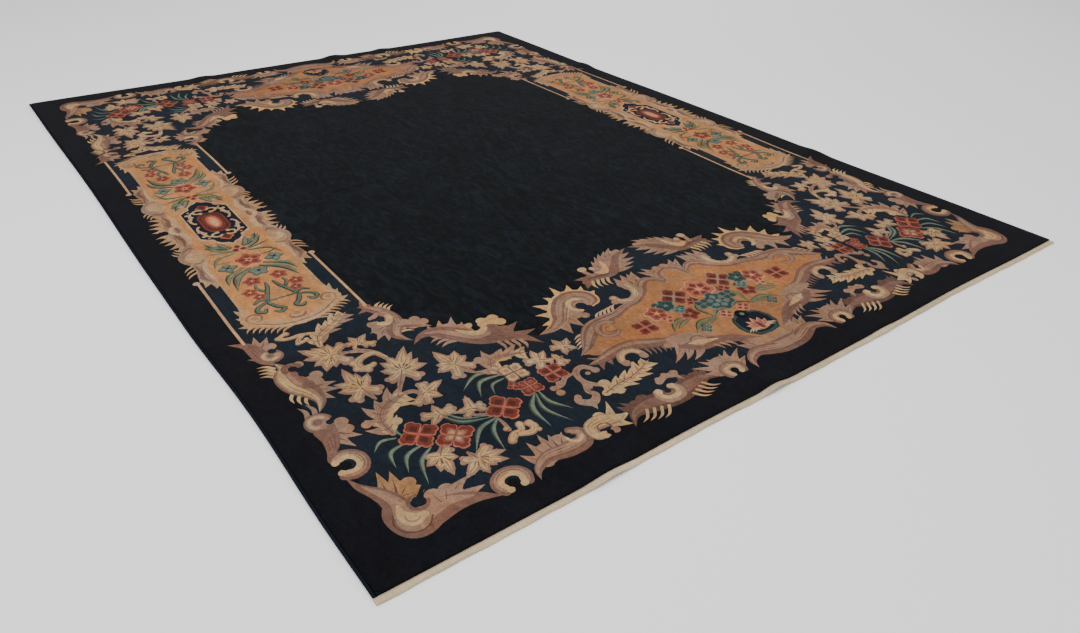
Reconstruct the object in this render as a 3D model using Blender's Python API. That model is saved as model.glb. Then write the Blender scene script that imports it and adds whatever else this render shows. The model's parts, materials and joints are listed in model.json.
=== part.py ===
"""Hand-knotted wool rug of room size, laid flat, with its slightly uneven edges.

The origin is on the floor under the middle of the rug. X runs along the near
short end, Y along the long sides to the far end, and Z is up.
"""
import math

import bmesh
import bpy

# Overall sizes, in metres
RUG_WIDTH = 2.74
RUG_LENGTH = 3.60
SLAB_THICKNESS = 0.012
BAND_WIDTH = 0.018
BAND_THICKNESS = 0.0055
CORD_WIDTH = 0.009
CORD_HEIGHT = 0.0105
CLEARANCE = 0.0003

# The pile is worn lower along the rim of the slab
RIM_WIDTH = 0.006
RIM_DROP = 0.0015

HALF_WIDTH = RUG_WIDTH / 2
HALF_LENGTH = RUG_LENGTH / 2
SLAB_HALF_WIDTH = HALF_WIDTH - CORD_WIDTH - CLEARANCE
SLAB_HALF_LENGTH = HALF_LENGTH - BAND_WIDTH - CLEARANCE

# Places where an edge lifts off the floor in a short pucker.
# Columns: place along the edge, half of its length, height of the lift
PUCKERS = {
    "near": ((-0.757, 0.105, 0.007), (-0.165, 0.075, 0.009), (0.332, 0.090, 0.004)),
    "far": ((-0.546, 0.080, 0.006), (0.205, 0.085, 0.010), (0.510, 0.070, 0.006)),
    "left": (),
    "right": ((-0.744, 0.100, 0.006), (0.870, 0.090, 0.007)),
}
PUCKER_REACH = 0.130

# Places where an edge is drawn in from its straight line.
# Columns: place along the edge, half of its length, how far it is drawn in
BOWS = {
    "near": ((-0.45, 0.42, 0.005), (0.75, 0.45, 0.006)),
    "far": ((-0.70, 0.50, 0.006), (0.75, 0.50, 0.005)),
    "left": ((-1.10, 0.50, 0.010), (0.60, 0.80, 0.006)),
    "right": ((-0.90, 0.60, 0.006), (0.80, 0.70, 0.008)),
}
BOW_REACH = 0.450

# Stations of the slab's grid
PUCKER_STEPS = (-1.0, -0.65, -0.35, 0.0, 0.35, 0.65, 1.0)
EDGE_STEPS = (0.040, 0.085, PUCKER_REACH)
LONGEST_STEP = 0.15
SHORTEST_STEP = 0.012

# Finishes: base colour, roughness
NAVY_WOOL = ((0.010, 0.014, 0.026), 0.92)
NAVY_YARN = ((0.012, 0.016, 0.030), 0.85)
CREAM_COTTON = ((0.62, 0.55, 0.45), 0.90)


def clear_scene():
    for thing in list(bpy.data.objects):
        bpy.data.objects.remove(thing, do_unlink=True)


def swell(place, centre, half_length):
    """1 at the centre of a pucker or bow, 0 from its ends on, and smooth between."""
    share = abs(place - centre) / half_length
    return math.cos(share * math.pi / 2) ** 2 if share < 1 else 0.0


def fade(distance, reach):
    """1 at an edge and 0 from its reach on."""
    return swell(min(max(distance, 0.0), reach), 0.0, reach)


def along_edge(rows, place):
    return sum(amount * swell(place, centre, half) for centre, half, amount in rows)


def distances(x, y):
    """For each edge, how far inside it a point is and where along it the point lies."""
    return {
        "near": (y + HALF_LENGTH, x),
        "far": (HALF_LENGTH - y, x),
        "left": (x + HALF_WIDTH, y),
        "right": (HALF_WIDTH - x, y),
    }


def laid(x, y, height):
    """Moves a point of the rug as cut to where it lies, with the bows and puckers."""
    moved = {}
    lift = 0.0
    for edge, (inside, place) in distances(x, y).items():
        moved[edge] = along_edge(BOWS[edge], place) * fade(inside, BOW_REACH)
        lift += along_edge(PUCKERS[edge], place) * fade(inside, PUCKER_REACH)
    return (
        x + moved["left"] - moved["right"],
        y + moved["near"] - moved["far"],
        height + lift,
    )


def thinned(places):
    """The places in order, without those too close to the one before."""
    kept = []
    for place in sorted(places):
        if not kept or place - kept[-1] >= SHORTEST_STEP:
            kept.append(place)
    return kept


def filled(places):
    """The places with even steps added where two lie far apart."""
    complete = places[:1]
    for start, end in zip(places, places[1:]):
        parts = math.ceil((end - start) / LONGEST_STEP)
        complete += [start + (end - start) * part / parts for part in range(1, parts + 1)]
    return complete


def stations(slab_half, full_half, edges):
    """Grid stations from one side to the other: both rims, the edges' reach and each pucker."""
    flat_half = slab_half - RIM_WIDTH
    inner = [full_half - reach for reach in EDGE_STEPS]
    inner += [-place for place in inner]
    for edge in edges:
        inner += [c + half * step for c, half, _ in PUCKERS[edge] for step in PUCKER_STEPS]
    inner = [place for place in thinned(inner) if abs(place) < flat_half - SHORTEST_STEP]
    return filled([-slab_half, -flat_half] + inner + [flat_half, slab_half])


ACROSS = stations(SLAB_HALF_WIDTH, HALF_WIDTH, ("near", "far"))
LENGTHWISE = stations(SLAB_HALF_LENGTH, HALF_LENGTH, ("left", "right"))


def finish_object(name, mesh_data, finish):
    """Gives a closed mesh its object, its outward faces and its own material."""
    mesh = bpy.data.meshes.new(name)
    bmesh.ops.recalc_face_normals(mesh_data, faces=mesh_data.faces)
    mesh_data.to_mesh(mesh)
    mesh_data.free()
    colour, roughness = finish
    material = bpy.data.materials.new(name)
    material.use_nodes = True
    shader = material.node_tree.nodes["Principled BSDF"]
    shader.inputs["Base Color"].default_value = (*colour, 1.0)
    shader.inputs["Roughness"].default_value = roughness
    shader.inputs["Metallic"].default_value = 0.0
    mesh.materials.append(material)
    thing = bpy.data.objects.new(name, mesh)
    bpy.context.scene.collection.objects.link(thing)
    return thing


def rug_body():
    """The knotted slab: a closed grid with a flat underside and a lower rim."""
    shape = bmesh.new()
    last_column = len(ACROSS) - 1
    last_row = len(LENGTHWISE) - 1

    def layer(height, drop):
        rows = []
        for j, y in enumerate(LENGTHWISE):
            row = []
            for i, x in enumerate(ACROSS):
                on_rim = i in (0, last_column) or j in (0, last_row)
                row.append(shape.verts.new(laid(x, y, height - drop * on_rim)))
            rows.append(row)
        return rows

    under = layer(0.0, 0.0)
    top = layer(SLAB_THICKNESS, RIM_DROP)
    for j in range(last_row):
        for i in range(last_column):
            for rows in (under, top):
                corners = (rows[j][i], rows[j][i + 1], rows[j + 1][i + 1], rows[j + 1][i])
                shape.faces.new(corners)
    rim = [(0, i) for i in range(last_column)]
    rim += [(j, last_column) for j in range(last_row)]
    rim += [(last_row, i) for i in range(last_column, 0, -1)]
    rim += [(j, 0) for j in range(last_row, 0, -1)]
    for (j, i), (k, m) in zip(rim, rim[1:] + rim[:1]):
        shape.faces.new((under[j][i], under[k][m], top[k][m], top[j][i]))
    return finish_object("rug_body", shape, NAVY_WOOL)


def strip(name, sections, finish):
    """A closed strip through a list of sections with equal numbers of points."""
    shape = bmesh.new()
    rings = [[shape.verts.new(point) for point in section] for section in sections]
    count = len(rings[0])
    for ring, following in zip(rings, rings[1:]):
        for k in range(count):
            m = (k + 1) % count
            shape.faces.new((ring[k], ring[m], following[m], following[k]))
    shape.faces.new(rings[0])
    shape.faces.new(rings[-1])
    return finish_object(name, shape, finish)


def band_profile():
    """The band's section: how far out from the slab, and how high, round its turned edge."""
    outer = BAND_WIDTH
    thick = BAND_THICKNESS
    return (
        (0.0, 0.0),
        (outer * 0.90, 0.0),
        (outer, thick * 0.30),
        (outer, thick * 0.65),
        (outer * 0.88, thick * 0.93),
        (outer * 0.45, thick),
        (0.0, thick * 0.90),
    )


def end_band(name, side):
    """The cotton band along one short end, as wide as the rug with its side cords."""
    inner = HALF_LENGTH - BAND_WIDTH
    places = [-HALF_WIDTH] + ACROSS + [HALF_WIDTH]
    sections = [
        [laid(x, side * (inner + out), height) for out, height in band_profile()]
        for x in places
    ]
    return strip(name, sections, CREAM_COTTON)


def cord_profile():
    """The cord's section: an oval with a small flat underneath."""
    points = []
    corners = 8
    for k in range(corners):
        turn = 2 * math.pi * (k + 0.5) / corners
        out = CORD_WIDTH * (0.5 + 0.5 * math.sin(turn) / math.cos(math.pi / corners))
        height = CORD_HEIGHT * (0.5 - 0.5 * math.cos(turn) / math.cos(math.pi / corners))
        points.append((out, height))
    return points


def side_cord(name, side):
    """The overcast cord along one long side, between the two end bands."""
    inner = HALF_WIDTH - CORD_WIDTH
    sections = [
        [laid(side * (inner + out), y, height) for out, height in cord_profile()]
        for y in LENGTHWISE
    ]
    return strip(name, sections, NAVY_YARN)


def main():
    clear_scene()
    rug_body()
    end_band("end_band_near", -1)
    end_band("end_band_far", 1)
    side_cord("side_cord_left", -1)
    side_cord("side_cord_right", 1)


main()
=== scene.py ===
"""Room-size knotted wool rug with scrolled borders, laid flat.

Blender runs this file as a script. It is laid out as an add-on: one operator for
each group of pieces, and a panel that lists them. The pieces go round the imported
frame, in metres. The drawing of the pattern is in centimetres.
"""
import json
import math

import bpy
import numpy as np
from mathutils import Matrix, Vector, kdtree
from mathutils.geometry import delaunay_2d_cdt

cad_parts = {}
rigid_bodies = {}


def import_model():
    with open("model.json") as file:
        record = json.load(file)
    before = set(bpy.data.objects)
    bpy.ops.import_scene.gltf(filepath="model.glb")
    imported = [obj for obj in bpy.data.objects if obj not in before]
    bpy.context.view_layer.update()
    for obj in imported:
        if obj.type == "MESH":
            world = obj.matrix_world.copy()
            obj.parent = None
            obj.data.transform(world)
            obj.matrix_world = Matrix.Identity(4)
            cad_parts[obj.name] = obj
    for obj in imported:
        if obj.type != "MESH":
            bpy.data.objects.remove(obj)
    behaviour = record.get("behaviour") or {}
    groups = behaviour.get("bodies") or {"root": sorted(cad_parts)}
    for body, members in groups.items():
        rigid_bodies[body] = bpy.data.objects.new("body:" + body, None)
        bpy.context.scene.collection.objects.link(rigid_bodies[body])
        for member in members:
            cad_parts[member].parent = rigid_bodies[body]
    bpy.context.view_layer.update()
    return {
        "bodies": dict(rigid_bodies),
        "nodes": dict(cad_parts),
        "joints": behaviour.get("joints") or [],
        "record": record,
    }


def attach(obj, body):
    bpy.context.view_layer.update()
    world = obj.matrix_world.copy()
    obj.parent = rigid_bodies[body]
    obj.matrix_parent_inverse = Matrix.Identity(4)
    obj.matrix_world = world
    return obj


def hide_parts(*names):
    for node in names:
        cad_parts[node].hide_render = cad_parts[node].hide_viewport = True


bl_info = {
    "name": "Scrolled Wool Rug",
    "version": (1, 0, 0),
    "blender": (4, 5, 0),
    "location": "3D View > Sidebar > Rug",
    "description": "Builds a knotted wool rug with carved scrolls round its packed frame",
    "category": "Add Mesh",
}

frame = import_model()

# The drawing's own lines and tones. Lengths are in centimetres and turns in degrees.

LINE_STEP = 0.5
ROUND_STEPS = 5
BLUNT = 0.12
BLADE = (("leaf_green", 1), ("sage", 0.60))
OLIVE_BLADE = (("dark_green", 1), ("olive", 0.66), ("sage", 0.30))

# Half widths: of a stroke from which on its wool is combed, and of the fine lines
COMBED_FROM = 1.4
COMB_LINE = 0.11
RIB_VEIN = 0.20

# How tongues taper: share of their length, and of their width
SLENDER = ((0, 1), (0.34, 0.84), (0.68, 0.40), (1, 0))
FULL = ((0, 0.9), (0.38, 1), (0.66, 0.74), (0.86, 0.34), (1, 0))

# The tongues along a rib: where they start and end, their bend and their lengths
CREST_SPAN = (0.10, 0.86)
CREST_BEND = 12
CREST_SWELL = 0.25
UNEVEN = (1.0, 0.74, 0.92, 0.66)

# A leaf's undivided body and the paler one inside it, as shares of its lobes
LEAF_BODY = 0.66
LEAF_HEART = 0.46
TOOTH_SPACING = 2.7
TOOTH_LEAN = 38
SLIT_UNDER = 80

# Half a petal of a square flower: how far along it, and how far out
PETAL = ((0.0, 0.0), (0.30, 0.30), (0.52, 0.47), (0.66, 0.43), (0.78, 0.27), (0.92, 0.24),
         (1.0, 0.12))


def smooth_rows(rows):
    """A smooth line through rows of x, y and half width, with points close together."""
    rows = np.array(rows, float)
    ends = np.vstack([2 * rows[0] - rows[1], rows, 2 * rows[-1] - rows[-2]])
    line = []
    for a, b, c, d in zip(ends, ends[1:], ends[2:], ends[3:]):
        count = max(2, math.ceil(math.dist(b[:2], c[:2]) / LINE_STEP))
        for t in np.arange(count) / count:
            line.append(b + 0.5 * t * (c - a + t * (2 * a - 5 * b + 4 * c - d
                        + t * (3 * (b - c) + d - a))))
    line.append(rows[-1])
    line = np.array(line)
    line[:, 2] = np.maximum(line[:, 2], 0)
    return line


def sideways(line):
    """The unit tangents and left-hand normals of a line's points."""
    along = np.gradient(line[:, :2], axis=0)
    along /= np.maximum(np.linalg.norm(along, axis=1), 1e-9)[:, None]
    return along, np.stack([-along[:, 1], along[:, 0]], axis=1)


def round_end(centre, start, sign):
    """Points of the half circle that closes a stroke's blunt end."""
    arm = start - centre
    turns = -sign * np.pi * np.arange(1, ROUND_STEPS) / ROUND_STEPS
    return [centre + (arm[0] * math.cos(a) - arm[1] * math.sin(a),
                      arm[0] * math.sin(a) + arm[1] * math.cos(a)) for a in turns]


def ribbon(line):
    """The outline of a stroke of changing width, with round ends where it isn't pointed."""
    left = sideways(line)[1]
    middle, half = line[:, :2], line[:, 2:3]
    one, other = middle + left * half, middle - left * half
    outline = list(one)
    if half[-1] > BLUNT:
        outline += round_end(middle[-1], one[-1], 1)
    outline += list(other[::-1])
    if half[0] > BLUNT:
        outline += round_end(middle[0], other[0], 1)
    return np.array(outline)


def arc_rows(x, y, start, end, radius, width, end_radius=None, end_width=None):
    """Rows of a stroke along an arc or, with another end radius, along a spiral."""
    count = max(4, math.ceil(abs(end - start) / 40) + 1)
    share = np.linspace(0, 1, count)
    turn = np.radians(start + (end - start) * share)
    reach = radius + ((radius if end_radius is None else end_radius) - radius) * share
    half = width + ((width if end_width is None else end_width) - width) * share
    return np.stack([x + reach * np.cos(turn), y + reach * np.sin(turn), half], 1).tolist()


def polar(x, y, heading, length):
    """The place at a length from another one, along a heading."""
    turn = math.radians(heading)
    return x + length * math.cos(turn), y + length * math.sin(turn)


def heading_to(start, end):
    return math.degrees(math.atan2(end[1] - start[1], end[0] - start[0]))


class Drawing:
    """The full-size drawing of one quarter of the rug: tones and outlines in order."""

    def __init__(self):
        self.shapes = []
        self.motif = 0

    def next_motif(self):
        """Starts a motif of its own. A groove is carved round each one."""
        self.motif += 1

    def fill(self, tone, outline):
        self.shapes.append((tone, self.motif, np.array(outline, float)))

    def stroke(self, tone, rows):
        self.fill(tone, ribbon(smooth_rows(rows)))

    def scroll(self, rows, tones, lean):
        """Strokes one inside the other, leaning to the left or right, as a scroll is shaded."""
        line = smooth_rows(rows)
        left = sideways(line)[1]
        for tone, share in tones:
            inner = line.copy()
            inner[:, :2] += left * line[:, 2:3] * lean * (1 - share)
            inner[:, 2] *= share
            self.fill(tone, ribbon(inner))
        if line[:, 2].max() > COMBED_FROM:
            self.combed(rows, 3, "umber" if tones[0][0] == "mauve" else "mauve")

    def combed(self, rows, count, tone="umber"):
        """Fine lines along a stroke, as its wool is shaded from one tone to the next."""
        line = smooth_rows(rows)
        left = sideways(line)[1]
        size = len(line)
        for k in range(count):
            aside = -0.62 + 1.24 * (k + 0.5) / count
            first = int(size * (0.10 + 0.13 * (k * 5 % 3)))
            last = int(size * (0.92 - 0.15 * (k * 7 % 3)))
            if last - first < 3:
                continue
            fine = line[first:last].copy()
            fine[:, :2] += left[first:last] * fine[:, 2:3] * aside
            fine[:, 2] = COMB_LINE * np.sin(np.pi * np.linspace(0.05, 0.95, last - first))
            self.fill(tone, ribbon(fine))

    def disc(self, tone, x, y, radius, squash=1, turn=0):
        """A round or, when squashed, an oval that is turned by so many degrees."""
        count = max(8, math.ceil(2 * math.pi * radius / LINE_STEP))
        angle = 2 * np.pi * np.arange(count) / count
        across, up = radius * np.cos(angle), radius * squash * np.sin(angle)
        lean = math.radians(turn)
        self.fill(tone, np.stack([x + across * math.cos(lean) - up * math.sin(lean),
                                  y + across * math.sin(lean) + up * math.cos(lean)], 1))

    def discs(self, tone, *rows):
        """Rounds of one tone. Columns: x, y and radius."""
        for row in rows:
            self.disc(tone, *row)

    def flame(self, tone, x, y, heading, length, half, bend=0, shape=SLENDER):
        """A tongue, wide at its root and drawn out to a curved point."""
        self.stroke(tone, [(*polar(x, y, heading - bend * (1 - share), share * length),
                            width * half) for share, width in shape])

    def flames(self, tone, rows, half, bend, vein="mauve"):
        """Tongues from roots to tips, with a vein in each. Columns: root x, y, tip x, y."""
        tongues = [(x, y, heading_to((x, y), tip), math.dist((x, y), tip))
                   for x, y, *tip in rows]
        for x, y, heading, length in tongues:
            self.flame(tone, x, y, heading, length, half, bend)
        for x, y, heading, length in tongues if vein else ():
            self.flame(vein, x, y, heading, 0.66 * length, 0.10 + 0.09 * half, bend)

    def crest(self, tone, rows, side, count, reach, half, lean):
        """Tongues of uneven length along one side of a line, leaning forwards along it."""
        line = smooth_rows(rows)
        along = sideways(line)[0]
        for k in range(count):
            share = k / max(count - 1, 1)
            at = CREST_SPAN[0] + (CREST_SPAN[1] - CREST_SPAN[0]) * share
            at = int(round(at * (len(line) - 1)))
            heading = heading_to((0, 0), along[at]) + side * (90 - lean)
            length = reach * (1 - CREST_SWELL
                              + CREST_SWELL * math.sin(math.pi * (0.15 + 0.7 * share)))
            self.flame(tone, *line[at, :2], heading, length * UNEVEN[k % len(UNEVEN)], half,
                       -side * CREST_BEND)

    def sprig(self, rows, tones, counts, reaches, half, lean):
        """A leaf with tongues along both sides of its bending rib."""
        for side, tone, count, reach in zip((1, -1), tones, counts, reaches):
            self.crest(tone, rows, side, count, reach, half, lean)
        self.stroke(tones[0], rows)
        for side, count, reach in zip((1, -1), counts, reaches):
            self.crest("mauve", rows, side, count, 0.68 * reach, RIB_VEIN, lean)
        self.stroke("mauve", [(x, y, 0.22 if w > 0.5 else 0.06) for x, y, w in rows])

    def leaf_body(self, tone, heart, spread, share):
        """The undivided middle of a leaf, out to a share of each of its lobes."""
        outline = []
        for (heading, reach), following in zip(spread, spread[1:] + [(spread[0][0] + 360, 0)]):
            outline.append(polar(*heart, heading, share * reach))
            if following[0] - heading > 120:
                outline.append(polar(*heart, heading + 60, 0.5))
        self.fill(tone, outline)

    def leaf(self, stalk, heart, tips, rounds, half):
        """A leaf of full, toothed lobes and round ones, spread from its heart.

        Columns of the tips: x, y. Columns of the round lobes: x, y and radius.
        """
        edge, inner, vein = "tan", "cream", "mauve"
        lobes = [(heading_to(heart, tip), math.dist(heart, tip), 1 if k % 2 else -1)
                 for k, tip in enumerate(tips)]
        self.stroke(edge, [(*stalk, 0.4), (*heart, 0.7 * half)])
        self.disc(edge, *heart, 1.05 * half)
        spread = [(heading, length) for heading, length, _ in lobes]
        spread += [(heading_to(heart, place), math.dist(heart, place) + 0.5 * radius)
                   for *place, radius in rounds]
        spread.sort()
        self.leaf_body(edge, heart, spread, LEAF_BODY)
        for x, y, radius in rounds:
            self.stroke(edge, [(*heart, 0.8 * half), (x, y, 0.9 * radius)])
            heading = heading_to(heart, (x, y))
            for turn in (-55, 55):
                self.disc(edge, *polar(x, y, heading + turn, 0.66 * radius), 0.62 * radius)
        for heading, length, side in lobes:
            self.flame(edge, *heart, heading, length, 0.86 * half, side * 6, FULL)
            teeth = int(length / TOOTH_SPACING)
            for k in range(teeth):
                notch = polar(*heart, heading - side * 3, length * (0.34 + 0.42 * k / teeth))
                for way in (1, -1):
                    self.flame(edge, *notch, heading + way * TOOTH_LEAN,
                               (0.40 - 0.06 * k) * half + 1.3, 0.36 * half)
        self.leaf_body(inner, heart, spread, LEAF_HEART)
        for x, y, radius in rounds:
            self.stroke(inner, [(*heart, 0.3 * half), (x, y, 0.46 * radius)])
            self.stroke(vein, [(*heart, 0.14), (x, y, 0.07)])
        for heading, length, side in lobes:
            self.flame(inner, *polar(*heart, heading, 0.08 * length), heading, 0.74 * length,
                       0.50 * half, side * 6, FULL)
            self.stroke(vein, [(*polar(*heart, heading, 0.1 * length), 0.15),
                               (*polar(*heart, heading + 4, 0.45 * length), 0.13),
                               (*polar(*heart, heading, 0.80 * length), 0.05)])
        self.stroke(vein, [(*stalk, 0.18), (*heart, 0.18)])
        headings = sorted(heading for heading, _, _ in lobes)
        for first, second in zip(headings, headings[1:]):
            if second - first < SLIT_UNDER:
                between = 0.5 * (first + second)
                self.stroke("umber", [(*polar(*heart, between, 0.45 * half), 0.08),
                                      (*polar(*heart, between, 1.4 * half), 0.20)])

    def fingers(self, start, end, count, long, heading, half=0.42, tone="cream", bend=18):
        """A comb of slender curved fingers that start between two places."""
        for k in range(count):
            share = k / max(count - 1, 1)
            x = start[0] + (end[0] - start[0]) * share
            y = start[1] + (end[1] - start[1]) * share
            self.stroke(tone, [(x, y, 1.2 * half),
                               (*polar(x, y, heading + bend, 0.55 * long), half),
                               (*polar(x, y, heading, long), 0)])

    def c_curl(self, x, y, radius, opening, hole, squash):
        """A domed horseshoe curl in rings of tone, with a knob at each side of its opening."""
        wide, tall = (squash, 1) if opening % 180 == 0 else (1, squash)

        def ring(gap, reach, half):
            rows = arc_rows(0, 0, opening + gap, opening + 360 - gap, reach * radius,
                            half * radius)
            return [(x + u * wide, y + v * tall, w) for u, v, w in rows]

        for tone, reach, half, gap in (("mauve", 0.76, 0.24, 52), ("tan", 0.62, 0.20, 56),
                                       ("cream", 0.50, 0.14, 60)):
            self.stroke(tone, ring(gap, reach, half))
        self.combed(ring(80, 0.66, 0.2), 2)
        for turn, out, half, tone in ((0, 0.14, 0.27, hole), (0, 0.44, 0.20, hole),
                                      (0, 0.74, 0.13, hole), (-37, 0.60, 0.19, "cream"),
                                      (37, 0.60, 0.19, "cream")):
            u, v = polar(0, 0, opening + turn, out * radius)
            self.disc(tone, x + u * wide, y + v * tall, half * radius)

    def blade(self, rows, tones=BLADE):
        """Long thin blades through three places. Columns: x, y of each, then half width."""
        for x, y, u, v, end_x, end_y, half in rows:
            self.scroll([(x, y, 0.45 * half), (u, v, half), (end_x, end_y, 0)], tones, 0.6)

    def square_flower(self, x, y, radius, petal, core, line, turn=0, petals=4):
        """Rounded diamond petals, with paler lines between them."""
        self.next_motif()
        shape = PETAL + tuple((along, -out) for along, out in PETAL[:0:-1])
        for tone, size, start in ((line, 1, 0), (petal, 0.82, 0.09), (core, 0.44, 0.22)):
            for k in range(petals):
                angle = math.radians(360 / petals * k + turn)
                ax, ay = math.cos(angle), math.sin(angle)
                self.fill(tone, [(x + radius * ((start + size * a) * ax - size * b * ay),
                                  y + radius * ((start + size * a) * ay + size * b * ax))
                                 for a, b in shape])


# The quarter's own middle lines and the cartouche's, and how far outlines run past them

MIDDLE_X = 140.7
MIDDLE_Y = 183.0
SIDE_X = 29.8
PAST_X = 145
PAST_Y = 190


def at_side(sign, x, *rest):
    """A row whose x counts from the cartouche's middle line, to its left or right."""
    return SIDE_X + sign * x, *rest


def at_sides(sign, rows):
    return [at_side(sign, *row) for row in rows]


def both_sides(half):
    """The outline that half of it, drawn from the middle line, makes with its mirror image."""
    return at_sides(-1, half) + at_sides(1, half[::-1])


def to_side(sign, heading):
    """A heading drawn for the right side, or its mirror image."""
    return heading if sign > 0 else 180 - heading


def draw_grounds(d):
    """The teal ground of the border, between the plain margin and the plain field."""
    d.fill("field", [(30, 30), (300, 30), (300, 300), (30, 300)])
    d.fill("teal_ground", [(12.3, 12), (60, 13), (100, 13.5), (150, 13), (150, 84.2), (MIDDLE_X, 84.2),
        (134, 83), (127, 78), (120, 74.5), (113, 72.5), (109, 69), (103, 72), (97, 69), (92, 62),
        (84, 56.5), (76, 62.5), (68, 70), (61, 77), (56, 81), (50, 84), (52, 92), (49, 101),
        (48.2, 104), (48.2, 142.5), (10.7, 142.5), (10.7, 104), (12.5, 98), (12.3, 90)])


def draw_corner_scroll(d):
    """The large scroll in the corner, with a leafy crown on each of its arms."""
    d.next_motif()
    d.disc("ochre", 18.2, 24.6, 3.9)
    d.flames("ochre", [(15.2, 24, 16.9, 33.8), (17.4, 24.6, 19.6, 32.2)], 2.1, 6, "umber")
    d.discs("ochre", (21.4, 26.4, 1.8), (21.6, 23.2, 1.8))
    d.disc("tan", 27, 17.2, 3.4)
    d.flames("tan", [(26, 17, 33.9, 20.4), (27, 15, 35.4, 15.6)], 2.1, -6, "umber")
    d.discs("tan", (23.8, 19.6, 2.1), (27.2, 19.4, 2))
    d.stroke("mauve", [(10.2, 36, 0), (11.5, 31.4, 1), (13.9, 27.2, 1.9), (15.4, 22.6, 2.8),
        (14.6, 18.4, 3.7), (16.6, 14.5, 4.5), (21, 14.5, 3.4), (26, 14.9, 2.9), (31.6, 13.4, 1.6),
        (37, 10.2, 0)])
    d.stroke("tan", [(12, 31, 0.2), (14.6, 26.4, 1), (16, 22, 1.6), (16, 18, 2.8), (16.8, 15.6, 3.6),
        (20.4, 16, 2.4), (25.4, 16.2, 1.5), (31, 14.2, 0.3)])
    d.stroke("umber", arc_rows(16.6, 16.2, 140, 335, 4.4, 0.22))
    d.stroke("cream", [(15.6, 21, 0.5), (15.2, 18, 1.4), (16.6, 15.6, 1.9), (19.4, 15.6, 0.9)])
    d.stroke("tan", arc_rows(16.9, 16.7, 150, 320, 1.7, 0.22))
    d.stroke("mauve", arc_rows(20, 19.6, 80, 345, 2.3, 0.5))
    d.disc("teal_ground", 20.2, 19.7, 1.7)
    d.stroke("teal_ground", [(20.4, 20, 1.1), (21.6, 21.5, 0.6), (23.2, 23.2, 0.5)])
    for rows in (
            [(18.4, 24, 0.16), (20.4, 25.6, 0.06)],
            [(18.4, 23.2, 0.16), (20.8, 22.8, 0.06)],
            [(24.2, 16.6, 0.16), (23.8, 19, 0.06)],
            [(25.6, 16.8, 0.16), (27, 19.2, 0.06)]):
        d.stroke("umber", rows)


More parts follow.
